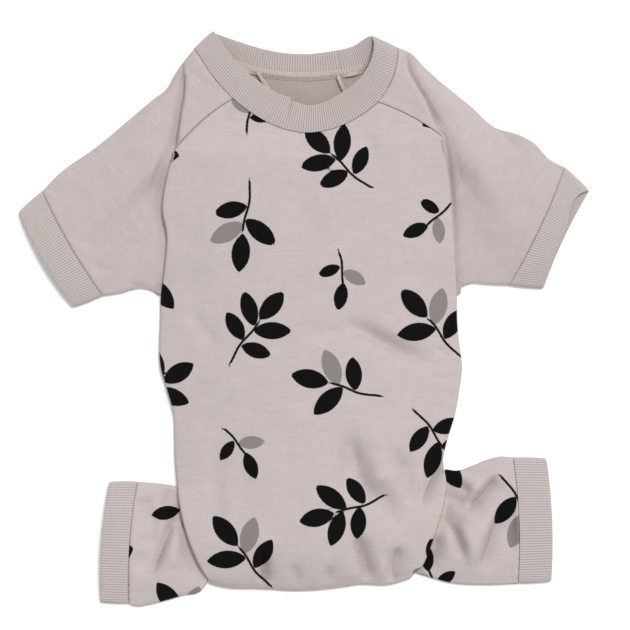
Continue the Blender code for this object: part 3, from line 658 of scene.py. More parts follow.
@dataclass(frozen=True)
class Body:
    """The printed body: a tube whose sides lie over the sleeves and the legs.

    Attributes:
        neck: The neck seam.
        chest_width: Between the underarms.
        to_rump: From the underarm line down to the rump.
        to_shoulder: From the underarm line up to the neck seam's highest point.
        loft: Height of the crown.
        side_roll: Radius of the side folds.
        rump_roll: Radius of the fold across the rump.
        rump_slope: Length over which the crown rises from the rump.
        arm_lift: Height of the side fold over a sleeve.
        leg_lift: Height of the side fold over a leg.
        leg_inset: How far the under half is drawn in beside a leg.
        raglan_bow: How far the raglan seams bow, as a share of their length, left and right.
        raglan_top: Height of the raglan seam's visible end.
        leg_zone: Where each leg comes out, in shares of the way from the underarm to the rump.
        step: Distance between the grids' points.
        folds: The creases.
    """

    neck: Neck = field(default_factory=Neck)
    chest_width: float = 0.222
    to_rump: float = 0.220
    to_shoulder: float = 0.184
    loft: float = 0.0240
    side_roll: float = 0.0040
    rump_roll: float = 0.0088
    rump_slope: float = 0.0450
    arm_lift: float = 0.0095
    leg_lift: float = 0.0108
    leg_inset: float = 0.0030
    raglan_bow: tuple[float, float] = (0.05, 0.04)
    raglan_top: float = 0.0175
    leg_zone: tuple[tuple[float, float], tuple[float, float]] = ((0.652, 0.992), (0.597, 0.970))
    # Shares of the way up the yoke that is fold, the rest being raglan seam.
    fold_share: float = 4 / 9
    # The strip turned under beyond a side fold: its bend's reach and drop, and its flat part's rows.
    turned_bend: tuple[float, float] = (0.0035, 0.0011)
    turned_return: tuple[float, float] = (0.003, 0.006)
    step: float = 0.0020
    folds: tuple[Fold, ...] = ()

    def side_folds(self, down: Array) -> tuple[Array, Array]:
        """x of the left and right side fold, at shares of the way from the underarm to the rump."""
        half = self.chest_width / 2
        left, right = (curve(SIDES["down"], SIDES[name], down) for name in ("left", "right"))
        return -half * left, half * right

    def leg_lifted(self, side: Side, down: Array) -> Array:
        """How far the side fold is lifted by a leg, 0 to 1: the root of a half sine over its zone."""
        top, bottom = self.leg_zone[side]
        share = np.clip((bottom - down) / (bottom - top), 0, 1)
        return np.sqrt(np.maximum(np.sin(np.pi * share), 0).round(6))

    def reach(self, across: Array, down: Array) -> Array:
        """How far each place is down the body, in shares of its length: the rump's edge is uneven."""
        return down * mix(1, curve(RUMP["across"], RUMP["reach"], across), smooth((down - 0.90) / 0.10))

    def side_edge(self, side: Side, down: Array) -> Array:
        """Plan points of the side fold."""
        reach = self.reach(np.array(side.outward), down)
        return np.stack([self.side_folds(down)[side], -self.to_rump * reach], 1)

    def over_arm(self, side: Side, along: Array) -> tuple[Array, Array]:
        """The body's edge above one underarm: side fold, then raglan seam.

        Args:
            side: Which side.
            along: Shares of the way from the underarm to the neckband.

        Returns:
            The edge's points, and how far each is seam.
        """
        fold = np.clip(along / self.fold_share, 0, 1)
        t = np.clip((along - self.fold_share) / (1 - self.fold_share), 0, 1)[:, None]
        knots = np.stack([ARM_FOLD[side.label], ARM_FOLD[side.label + "_rise"]], 1)
        knots *= np.array([side.outward * self.chest_width / 2, self.to_shoulder])
        corner = self.neck.corner(self.neck.front_corner[side])
        chord = corner[:2] - knots[-1]
        bow = square_to(chord) * side.outward * self.raglan_bow[side]
        raglan = knots[-1] + chord * t - bow * 4 * t * (1 - t)
        plan = np.where(t > 0, raglan, curve(ARM_FOLD["along"], knots, fold))
        # The last part of the fold turns into the seam and climbs to its height.
        nearly = smooth((fold - 0.70) / 0.30)
        lifted = mix(self.side_roll, self.arm_lift, smooth(fold / 0.30))
        lifted = lifted + (self.raglan_top - self.arm_lift) * nearly
        height = np.where(t[:, 0] > 0, mix(self.raglan_top, corner[2], t[:, 0]), lifted)
        return with_height(plan, height), np.where(t[:, 0] > 0, 1, nearly)

    def under_arm(self, side: Side, along: Array) -> Array:
        """The flat raglan seam of the under half, from the underarm to the neck."""
        start = self.over_arm(side, np.zeros(1))[0][0]
        t = along[:, None]
        chord = self.neck.corner(self.neck.back_corner[side])[:2] - start[:2]
        hollow = np.array([-side.outward, -0.35]) * 0.10 * np.linalg.norm(chord)
        plan = start[:2] + chord * t + hollow * 4 * t * (1 - t)
        return with_height(plan, self.side_roll * (1 - smooth(along / 0.1)))

    def raglan_line(self, side: Side) -> Array:
        """Plan points of the visible raglan seam."""
        return self.over_arm(side, np.linspace(self.fold_share, 1, 60))[0][:, :2]

    def lower(self) -> tuple[Array, Array, Array]:
        """Over and under grids from the rump to the underarm, and the share down of each row.

        The over half rises from the side folds in a quarter circle, then in a bell with a flat
        middle, and rolls over at the rump; the under half lies flat.
        """
        s = edge_spacing(self.chest_width, CREASE, self.step)
        weight = (s + 1) / 2
        turn = self.rump_roll * (1 - np.cos(np.linspace(0, np.pi / 2, 9)[:-1]))
        rows = int((self.to_rump - self.rump_roll) / self.step)
        rest = np.linspace(self.rump_roll, self.to_rump, rows)
        down = 1 - np.concatenate([turn, rest]) / self.to_rump
        column = down[:, None]
        left_x, right_x = self.side_folds(column)
        plan = np.stack([mix(left_x, right_x, weight), -self.to_rump * self.reach(s, column)], -1)
        half = (right_x - left_x) / 2
        from_rump = self.to_rump * (1 - column)
        end = rolled(from_rump, self.rump_roll)
        roll = rolled(half * (1 - np.abs(s)), CREASE) * end
        left_lift, right_lift = (self.leg_lifted(side, down)[:, None] for side in Side)
        base = mix(self.side_roll, self.leg_lift, mix(left_lift, right_lift, weight))
        crown = self.loft - self.side_roll - base
        crown = crown * (1 - np.abs(s) ** CROWN) * smooth(from_rump / self.rump_slope + 0.12)
        top = base + self.side_roll * roll + crown * end
        give = roll * smooth(from_rump / 0.012)
        # Beside the side folds a leg lies under the body, up to just below the base's height.
        floor = mix(LEAST, base + 0.0004, smooth((np.abs(s) - 0.5) / 0.25))
        top = pressed(top, floor, dents(plan, self.folds) * give)
        top = top + ripple(plan, 4, 0.045) * give
        inset = self.leg_inset * (left_lift * (1 - weight) - right_lift * weight)
        under = np.stack([plan[..., 0] + inset, plan[..., 1]], -1)
        bottom = self.side_roll * (1 - roll)
        bottom[:, 0] *= 1 - left_lift[:, 0]
        bottom[:, -1] *= 1 - right_lift[:, 0]
        return with_height(plan, top), with_height(under, bottom), down

    def yoke(self, over_start: Array, under_start: Array) -> tuple[Array, Array, Array]:
        """Over and under grids from the underarm to the neck, and each row's share of the way."""
        s = edge_spacing(self.chest_width, CREASE, self.step)
        weight = (s + 1) / 2
        near = 1 - np.array([0.026, 0.020, 0.015, 0.011, 0.008, 0.0055, 0.0035, 0.0015, 0])
        along = np.concatenate([np.linspace(0, 0.966, 60), near])
        left, left_seam = self.over_arm(Side.LEFT, along)
        right, right_seam = self.over_arm(Side.RIGHT, along)
        seam = mix(left_seam[:, None], right_seam[:, None], weight)
        front = self.neck.edge(*self.neck.front_corner, weight)
        over = coons(over_start[:, :2], front[:, :2], left[:, :2], right[:, :2], weight, along)
        base = mix(left[:, 2:], right[:, 2:], weight)
        row = along[:, None]
        peak = mix(self.loft, self.neck.loft, smooth((row - 0.25) / 0.75))
        roll = rolled(self.chest_width / 2 * (1 - np.abs(s)), CREASE) * (1 - seam)
        crown = (peak - self.side_roll * (1 - seam) - base) * (1 - np.abs(s) ** CROWN)
        top = base + self.side_roll * roll + crown
        give = (1 - np.abs(s) ** 8) * (1 - row**6)
        top = top - (dents(over, self.folds) - ripple(over, 4, 0.045)) * give
        top = top - seam_relief(over, self.neck.line(), 11)
        for side in Side:
            top = top - seam_relief(over, self.raglan_line(side), 12 + side)
        back = self.neck.edge(*self.neck.back_corner, weight)
        sides = (self.under_arm(side, along)[:, :2] for side in Side)
        under = coons(under_start[:, :2], back[:, :2], *sides, weight, along)
        bottom = np.zeros(under.shape[:-1])
        bottom[0] = under_start[:, 2]
        return with_height(over, top), with_height(under, bottom), along

    def turned_edge(self, edge: Array, inward: Array, fullness: Array) -> Array:
        """The strip of cloth that turns under beyond an open side fold.

        A quarter of a flat ellipse, then a straight return, both in proportion to the fullness.

        Args:
            edge: Points of the fold's outermost line.
            inward: Unit plan vectors towards the body.
            fullness: 0 to 1 at each point, 0 where the body is whole.

        Returns:
            A grid whose first column is the edge.
        """
        angle = np.linspace(0, np.pi / 2, 7)
        bend, drop = self.turned_bend
        inwards = np.concatenate([bend * (1 - np.cos(angle)), bend + np.array(self.turned_return)])
        sunk = np.concatenate([drop * np.sin(angle), [drop] * 2])
        full = fullness[:, None]
        plan = edge[:, None, :2] + inward[:, None] * (inwards[None] * full)[..., None]
        return with_height(plan, edge[:, 2:] - sunk[None] * full)


@dataclass(frozen=True)
class Limb:
    """What a sleeve and a leg share: their cuff seam, their section and their cloth."""

    body: Body
    side: Side
    length: float
    mouth: float
    loft: float
    heading: float
    mouth_heading: float
    upper: dict[str, Array]
    lower: dict[str, Array]
    folds: tuple[Fold, ...]
    # Depth and distance of the dip where the limb goes under the body's side fold.
    dip: tuple[float, float] = (0.0034, 0.0024)
    # How far the limb goes in under that fold, and how far below it it lies.
    tuck: float = 0.0010
    clearance: float = 0.0018
    # Columns of the grid: in each silhouette's roll, and between the rolls.
    grid: tuple[int, int] = (15, 105)
    # Share of the way from the lower to the upper silhouette at each step of the coarse plan.
    shares: tuple[float, ...] = ()

    def columns(self) -> Array:
        """Places of the grid's columns, in steps of the coarse plan."""
        last, (turns, inner) = len(self.shares) - 1, self.grid
        turn = 1 - np.cos(np.linspace(0, np.pi / 2, turns)[:-1])
        return np.concatenate([turn, np.linspace(1, last - 1, inner), (last - turn)[::-1]])

    def weights(self, column: Array) -> Array:
        """Share of the way from the lower to the upper silhouette in each column."""
        return curve(np.arange(len(self.shares)), np.array(self.shares), column, steady=True)

    def dipped(self, over: Array, edge: Array) -> Array:
        """How far the limb sinks beside the body's side fold, none at the fold and most beside it."""
        share = np.abs(nearest(over[..., :2], edge[:, :2])[0]) / self.dip[1]
        return self.dip[0] * share * np.exp(1 - share)

    def ends(self, root: Array) -> Array:
        """The two ends of the cuff seam, lower and upper, from the root's upper end."""
        upper = root[-1, :2] + self.length * direction(self.heading)
        return np.array([upper - self.mouth * direction(self.mouth_heading), upper])

    def silhouette(self, start: Array, end: Array, bows: dict, along: Array, other: Array) -> Array:
        """A silhouette's plan points: a straight line bowed by its table, away from the other end."""
        chord = end - start
        away = square_to(chord)
        away = away * -np.sign(away @ (other - start))
        return start + chord * along[:, None] + away * curve(bows["along"], bows["bow"], along)[:, None]

    def sides(self, root: Array, ends: Array, low_at: Array, high_at: Array) -> tuple[Array, Array]:
        """The lower and the upper silhouette, at shares of the way from the root to the cuff seam."""
        return (
            self.silhouette(root[0, :2], ends[0], self.lower, low_at, ends[1]),
            self.silhouette(root[-1, :2], ends[1], self.upper, high_at, ends[0]),
        )

    def sink(self, over: Array, relief: Array) -> None:
        """Lowers the over half by a relief, which ends where that half rolls round to the under one."""
        over[..., 2] -= relief * smooth((over[..., 2] - LIMB_ROLL) / 0.004)

    def heights(
        self,
        over: Array,
        under: Array,
        roots: tuple[Array, Array],
        shares: Array,
        fade: Array,
        along: Array,
    ) -> tuple[Array, Array]:
        """Over and under plan grids with their heights.

        Both halves leave the side folds in a quarter circle; the over half then swells in a bell
        and the under half lies flat. Near the root they keep a share of the root's height.

        Args:
            over: Plan points of the over half.
            under: Plan points of the under half.
            roots: The over and under edges at the root, with their heights.
            shares: Share of the way from the lower to the upper silhouette in each column.
            fade: Share of the root's height that each point keeps.
            along: Share of the way from the root to the cuff seam in each row.

        Returns:
            Both grids with their heights.
        """
        s = 2 * shares - 1
        row = along[:, None]
        half = np.linalg.norm(over[:, -1] - over[:, 0], axis=1)[:, None] / 2
        inside = half * (1 - np.abs(s))
        roll = rolled(inside, CREASE)
        swell = mix(self.loft, CUFF_LOFT, smooth((row - 0.5) / 0.42))
        top = LIMB_ROLL + LIMB_ROLL * roll + (swell - 2 * LIMB_ROLL) * (1 - np.abs(s) ** CROWN)
        bottom = LIMB_ROLL * (1 - rolled(inside, 1.5 * LIMB_ROLL))
        top = top + (roots[0][:, 2] - top[0]) * fade
        bottom = bottom + (roots[1][:, 2] - bottom[0]) * fade
        give = roll * np.clip((top - LIMB_ROLL) / (0.6 * self.loft), 0, 1)
        give = give * smooth(row / 0.05) * smooth((1 - row) / 0.08)
        top = pressed(top, bottom + LEAST, dents(over, self.folds) * give)
        top = top + ripple(over, 20 + self.side, 0.04) * give
        return with_height(over, top), with_height(under, bottom)


@dataclass(frozen=True)
class Sleeve(Limb):
    """A raglan sleeve of plain jersey, from the neck seam to its cuff.

    Its shoulder's rows run beside the body, out to a line called the valley, and the rest run on
    from there to the cuff.

    Attributes:
        valley: The line's top, in shares of half the chest and of the way to the shoulder, and
            where it meets the upper silhouette.
        valley_low: Where the line meets the lower silhouette.
        valley_off: How far the line is from the body's side fold, at its ends and its middle.
    """

    valley: tuple[float, float, float] = (0.854, 0.902, 0.12)
    valley_low: float = 0.12
    valley_off: tuple[float, float, float] = (0.0060, 0.0100, 0.0060)
    # Steps of the coarse plan along the fold, the raglan seam and the neck seam.
    root_steps: tuple[int, int, int] = (4, 5, 6)
    shares: tuple[float, ...] = (
        *(0, 0.03, 0.12, 0.28, 0.46, 0.54, 0.61, 0.68),
        *(0.74, 0.79, 0.83, 0.87, 0.91, 0.95, 0.98, 1),
    )
    # Share of its root's height that the sleeve keeps from there to the valley.
    keep: tuple[float, ...] = (1, 0.93, 0.5, 0)
    # Beside the body's side fold the sleeve stays low as far as this row.
    low_rows: float = 9.0
    valley_rows: int = 3
    rows: int = 10

    def roots(self, column: Array) -> tuple[Array, Array]:
        """The over and under edges that are sewn to the body and to the neckband."""
        _, corner, last = np.cumsum(self.root_steps)
        arm = np.clip(column / corner, 0, 1)
        edge, seam = self.body.over_arm(self.side, arm)
        outward = -sideways(edge[:, :2], np.zeros(2))
        outward = self.steady(outward, column <= corner)
        start = smooth(column / 0.8)
        tucked = self.tuck * start - 0.0012 * (1 - start)
        shift = SEAM_GAP * seam - tucked * (1 - seam)
        arm_points = edge[:, :2] + outward * shift[:, None]
        arm_height = edge[:, 2] - self.clearance * (1 - seam)
        arm_height = mix(LIMB_ROLL, arm_height, start)
        neck = self.body.neck
        nick = neck.nick * self.side.outward
        rest = np.clip((column - corner) / (last - corner), 0, 1)
        front = neck.edge(neck.front_corner[self.side] + nick, neck.shoulder[self.side], rest)
        over = np.where((column <= corner)[:, None], with_height(arm_points, arm_height), front)
        flat = self.body.under_arm(self.side, arm)
        away = self.steady(-sideways(flat[:, :2], np.array([0, 0.02])), column <= corner)
        shoulder = (NECK_ROWS, neck.shoulder[Side.RIGHT])[self.side]
        back = neck.edge(neck.back_corner[self.side] - nick, shoulder, rest)
        sewn = with_height(flat[:, :2] + SEAM_GAP * away, flat[:, 2])
        under = np.where((column <= corner)[:, None], sewn, back)
        under[0], under[-1] = over[0], over[-1]
        return over, under

    @staticmethod
    def steady(vectors: Array, valid: Array) -> Array:
        """Repeats the last valid vector where the line has run out."""
        last = np.nonzero(valid)[0][-1]
        held = vectors.copy()
        held[last:] = vectors[max(last - 1, 0)]
        return held

    def build(self) -> tuple[Array, Array, Array]:
        """Over and under grids of the sleeve with its shoulder, and its cuff seam's ends."""
        column = self.columns()
        over_root, under_root = self.roots(column)
        ends = self.ends(over_root)
        across, up, meets = self.valley
        weight = self.weights(column)
        near_cuff = 1 - np.array([0.022, 0.016, 0.011, 0.0075, 0.005, 0.0028, 0.0012, 0])
        at_fold = self.valley_rows / self.rows + np.linspace(-0.05, 0.035, 27)
        along = np.unique(np.concatenate([np.linspace(0, 0.97, 82), near_cuff, at_fold]).round(5))
        row = along * self.rows
        low_along = np.interp(row, (0, self.valley_rows, self.rows), (0, self.valley_low, 1))
        high_along = np.interp(row, (0, self.valley_rows, self.rows), (0, meets, 1))
        low, high = self.sides(over_root, ends, low_along, high_along)
        seam = mouth_line(ends, (low[0] + high[0]) / 2, weight)
        fold_end, corner, last = np.cumsum(self.root_steps)
        off = np.interp(column, (0, fold_end / 2, fold_end), self.valley_off)[:, None]
        side = self.steady(sideways(over_root[:, :2], np.zeros(2)), column <= fold_end)
        valley = over_root[:, :2] - side * off
        body = self.body
        top = np.array([self.side.outward * body.chest_width / 2 * across, body.to_shoulder * up])
        bend = valley[np.nonzero(column <= fold_end)[0][-1]]
        climb = np.clip((column - fold_end) / (corner - fold_end), 0, 1)[:, None]
        rest = np.clip((column - corner) / (last - corner), 0, 1)[:, None]
        line_ends = self.sides(over_root, ends, np.array([self.valley_low]), np.array([meets]))
        low_valley, high_valley = (silhouette[0] for silhouette in line_ends)
        valley = np.where(climb > 0, mix(bend, top, climb), valley)
        valley = np.where(rest > 0, mix(top, high_valley, rest), valley)
        lead = smooth(column)
        valley = mix(low_valley, valley, lead[:, None])
        inner = row <= self.valley_rows
        step = (row[inner] / self.valley_rows)[:, None, None]
        shoulder = mix(over_root[None, :, :2], valley[None], step)
        low_gap = low[inner] - shoulder[:, 0]
        high_gap = high[inner] - shoulder[:, -1]
        shoulder = shoulder + low_gap[:, None] * (1 - lead)[None, :, None]
        shoulder = shoulder + high_gap[:, None] * smooth(column - (last - 1))[None, :, None]
        out = (row[~inner] - self.valley_rows) / (self.rows - self.valley_rows)
        lows = np.concatenate([low_valley[None], low[~inner]])
        highs = np.concatenate([high_valley[None], high[~inner]])
        outer = coons(valley, seam, lows, highs, weight, np.concatenate([[0], out]))
        over = np.concatenate([shoulder, outer[1:]])
        under = coons(under_root[:, :2], seam, low, high, weight, low_along)
        under[:, 0], under[:, -1] = over[:, 0], over[:, -1]
        raised = smooth((column - (fold_end - 1)) / 3)[None]
        kept = curve(np.arange(4), np.array(self.keep), np.clip(row, 0, 3))
        near_fold = np.clip(1 - row / self.low_rows, 0, 1)[:, None]
        fade = mix(near_fold, kept[:, None], raised)
        over, under = self.heights(over, under, (over_root, under_root), weight, fade, along)
        relief = seam_relief(over[..., :2], body.neck.line(), 31 + self.side)
        relief = relief + seam_relief(over[..., :2], body.raglan_line(self.side), 33 + self.side)
        relief = relief + seam_relief(over[..., :2], seam, 35 + self.side, 0.0003)
        relief = relief + self.dipped(over, over_root[column <= fold_end]) * smooth(column / 2.2)
        self.sink(over, relief)
        return over, under, ends


@dataclass(frozen=True)
class Leg(Limb):
    """A hind leg of printed jersey, from under the body's side to its cuff."""

    dip: tuple[float, float] = (0.0042, 0.0030)
    grid: tuple[int, int] = (12, 56)
    # Between leg and body where neither lies under the other.
    corner_gap: float = 0.0012
    # Share of the way up the leg's zone at each step of the coarse plan.
    root_shares: tuple[float, ...] = (0, 0.06, 0.18, 0.34, 0.50, 0.66, 0.82, 0.94, 1)
    shares: tuple[float, ...] = (0, 0.03, 0.12, 0.30, 0.50, 0.70, 0.88, 0.97, 1)

    def roots(self, column: Array) -> tuple[Array, Array]:
        """The over and under edges at the body's side, from the rump upwards."""
        knots = np.arange(len(self.root_shares))
        share = curve(knots, np.array(self.root_shares), column, steady=True)
        top, bottom = self.body.leg_zone[self.side]
        down = bottom + (top - bottom) * share
        edge, lifted = self.body.side_edge(self.side, down), self.body.leg_lifted(self.side, down)
        outward = -sideways(edge, np.array([0, -0.15]))
        tucked = smooth(lifted / 0.5)[:, None]
        over_plan = edge + outward * (self.corner_gap * (1 - tucked) - self.tuck * tucked)
        rise = self.body.leg_lift - self.clearance - LIMB_ROLL
        over = with_height(over_plan, LIMB_ROLL + rise * lifted)
        gap = mix(self.corner_gap, SEAM_GAP, lifted)
        under_plan = edge + outward * gap[:, None]
        under_plan[:, 0] -= self.side.outward * self.body.leg_inset * lifted
        under = with_height(under_plan, LIMB_ROLL * (1 - lifted))
        under[0], under[-1] = over[0], over[-1]
        return over, under

    def build(self) -> tuple[Array, Array, Array]:
        """Over and under grids of the leg, and its cuff seam's ends."""
        column = self.columns()
        over_root, under_root = self.roots(column)
        ends = self.ends(over_root)
        near_cuff = 1 - np.array([0.045, 0.034, 0.024, 0.016, 0.010, 0.005, 0.002, 0])
        along = np.concatenate([np.linspace(0, 0.94, 36), near_cuff])
        low, high = self.sides(over_root, ends, along, along)
        weight = self.weights(column)
        seam = mouth_line(ends, (low[0] + high[0]) / 2, weight)
        roots = (over_root, under_root)
        over, under = (coons(root[:, :2], seam, low, high, weight, along) for root in roots)
        under[:, 0], under[:, -1] = over[:, 0], over[:, -1]
        fade = 1 - smooth(along[:, None] / 0.45)
        over, under = self.heights(over, under, roots, weight, fade, along)
        relief = seam_relief(over[..., :2], seam, 41 + self.side, 0.0003)
        middle = smooth((column - 0.4) / 2.0) * smooth((column[-1] - 0.4 - column) / 2.0)
        relief = relief + self.dipped(over, over_root) * middle
        self.sink(over, relief)
        return over, under, ends


@dataclass(frozen=True)
class RibBand:
    """A band of 1x1 rib, folded double and sewn on.

    Attributes:
        pitch: Distance between two ribs.
        depth: Height of a rib over the groove beside it.
        steps: Grid steps across one rib.
        puff: How far the doubled band swells between its seam and its folded edge.
        bend: Share of the width at which the folded edge's bend starts.
    """

    pitch: float = 0.0020
    depth: float = 0.00042
    steps: int = 8
    puff: float = 0.0007
    bend: float = 0.94

    def section(self) -> tuple[Array, Array]:
        """Round the band's section: shares of the width from the seam, and of the wall inwards.

        The outer face runs out to the folded edge, which is a half circle, and the inner face back.
        """
        face = np.linspace(0, self.bend, 13)
        turn = np.linspace(0, np.pi, 9)[1:-1]
        share = np.concatenate([face, mix(self.bend, 1, np.sin(turn)), face[::-1]])
        depth = np.concatenate([np.zeros(13), (1 - np.cos(turn)) / 2, np.ones(13)])
        return share, depth

    def even(self, loop: Array) -> Array:
        """A closed loop of rows resampled at even steps, a whole number of ribs round."""
        closed = np.concatenate([loop, loop[:1]])
        length = arc_lengths(closed[:, :3])
        count = self.steps * int(round(length[-1] / self.pitch))
        at = np.linspace(0, length[-1], count, endpoint=False)
        return np.stack([np.interp(at, length, column) for column in closed.T], 1)

    def weave(
        self, seam: Array, free: Array, normal: Array, sunk: Array | float = 0.0
    ) -> tuple[Array, Array, Array]:
        """The band's closed grid between two closed loops.

        Args:
            seam: Points of the seam line.
            free: Points of the folded edge.
            normal: Unit vectors out of the outer face.
            sunk: How far both faces are drawn in where the band's ends are joined.

        Returns:
            The grid, its cloth plan, and how deep in a groove each point is, 0 to 1, by which the rib's
            colour is darkened as painted shade.
        """
        share, depth = self.section()
        turns = np.arange(len(seam)) / self.steps
        ridge = np.abs(np.cos(np.pi * turns)) ** 0.55
        across = free - seam
        width = np.linalg.norm(across, axis=1)
        puff = self.puff * np.sin(np.pi * np.clip(share / self.bend, 0, 1)) ** 0.7
        outwards = (0.5 - depth) * 2
        lift = -depth[None] * RIB_WALL + outwards[None] * (puff[None] * 0.6)
        lift = lift + outwards[None] * self.depth * (ridge[:, None] - 1)
        lift = lift - outwards[None] * np.broadcast_to(sunk, len(seam))[:, None]
        points = seam[:, None] + across[:, None] * share[None, :, None]
        points = points + normal[:, None] * lift[..., None]
        round_it = np.broadcast_to((turns * self.pitch)[:, None], lift.shape)
        plan = np.stack([round_it, width[:, None] * share[None] + depth[None] * 0.05], -1)
        return points, plan, np.broadcast_to((1 - ridge)[:, None], lift.shape)


def closed_grid(values: Array) -> Array:
    """A grid with its first row and its first column repeated at the end."""
    wide = np.concatenate([values, values[:, :1]], 1)
    return np.concatenate([wide, wide[:1]], 0)


@dataclass(frozen=True)
class Neckband(RibBand):
    """The rib band round the neck: its front stands over the body, its back lies on the surface."""

    neck: Neck = field(default_factory=Neck)
    width: float = 0.0212
    edge_height: tuple[float, float] = (0.0006, 0.92)
    # In rows of the seam's table: where the free edge has a small kink, over how many rows it rises
    # to it and falls behind it, and where the band's two ends are joined, with half that seam's width.
    kink: tuple[float, float, float] = (4.86, 0.9, 0.07)
    joined: tuple[float, float] = (13.68, 0.022)
    kink_reach: float = 0.075
    kink_drop: float = 0.0016
    join_depth: float = 0.0009

    def build(self) -> tuple[Array, Array, Array]:
        """The band's closed grid, its cloth plan and its grooves."""
        at = np.linspace(0, NECK_ROWS, 2400, endpoint=False)
        plan, height, lean, reach = self.neck.seam(at)
        seam = with_height(plan, height + self.depth)
        where, rise, fall = self.kink
        step = smooth((at - where + rise) / rise) * (1 - smooth((at - where) / fall))
        reach = reach + self.kink_reach * step
        tip = plan + (reach * self.width)[:, None] * direction(lean)
        edge = self.depth + self.edge_height[0] + height * self.edge_height[1]
        free = with_height(tip, edge - self.kink_drop * np.exp(-(((at - where - fall) / fall) ** 2)))
        along = (np.roll(free + seam, -1, 0) - np.roll(free + seam, 1, 0)) / 2
        normal = unit(np.cross(free - seam, along))
        normal *= np.sign(normal[np.argmax(height), 2]) or 1
        join_at, half = self.joined
        sunk = self.join_depth * np.exp(-(((at - join_at) / half) ** 2))[:, None]
        loop = self.even(np.concatenate([seam, free, normal, sunk], 1))
        return self.weave(loop[:, :3], loop[:, 3:6], loop[:, 6:9], loop[:, 9])


@dataclass(frozen=True)
class Cuff(RibBand):
    """A rib cuff on a sleeve or a leg."""

    length: float = 0.0232
    grip: float = 0.91
    heading: float = 211.5
    gape: float = 0.0
    # How far the folded edge is drawn in at the middle of the mouth.
    hollow: float = 0.0
    # Height of the folded edge's loop, as a share of the seam's.
    edge_loft: float = 0.94

    def loop(self, ends: Array, behind: Array, height: float, s: Array) -> tuple[Array, Array]:
        """A closed loop round a flattened mouth, and which of its points are on the over half."""
        plan = mouth_line(ends, behind, (s + 1) / 2)
        inside = np.linalg.norm(ends[1] - ends[0]) / 2 * (1 - np.abs(s))
        over = LIMB_ROLL * (1 + rolled(inside, LIMB_ROLL))
        over = over + (height - 2 * LIMB_ROLL) * (1 - np.abs(s) ** CROWN)
        under = LIMB_ROLL * (1 - rolled(inside, 1.5 * LIMB_ROLL))
        loop = np.concatenate([with_height(plan, over)[:-1], with_height(plan, under)[:0:-1]])
        return loop, np.concatenate([over[:-1] > LIMB_ROLL * 1.01, np.zeros(len(s) - 1, bool)])

    def build(self, mouth: Array, behind: Array) -> tuple[Array, Array, Array]:
        """The cuff's closed grid, its cloth plan and its grooves, from the limb's cuff seam."""
        out = direction(self.heading)
        start = mouth + out * BAND_GAP
        middle = start.mean(0)
        end = middle + (start - middle) * self.grip + out * self.length
        s = edge_spacing(np.linalg.norm(mouth[1] - mouth[0]), LIMB_ROLL, 0.0015)
        seam, over = self.loop(start, behind, CUFF_LOFT, s)
        free, _ = self.loop(end, behind, CUFF_LOFT * self.edge_loft, s)
        high = np.clip((seam[:, 2] - LIMB_ROLL) / LIMB_ROLL, 0, 1)
        chord = end[1] - end[0]
        upper = np.clip((free[:, :2] - end[0]) @ chord / (chord @ chord), 0, 1)
        drawn = self.gape * curve(GAPE["up"], GAPE["wide"], upper, steady=True) * over * high
        drawn = drawn + self.hollow * 4 * upper * (1 - upper)
        free[:, :2] -= out * drawn[:, None]
        lift = np.array([0, 0, self.depth])
        along = np.roll(seam, -1, 0) - np.roll(seam, 1, 0)
        normal = unit(np.cross(along, free - seam))
        normal *= np.sign(normal[np.argmax(seam[:, 2]), 2])
        loop = self.even(np.concatenate([seam + lift, free + lift, normal], 1))
        return self.weave(loop[:, :3], loop[:, 3:6], unit(loop[:, 6:]))


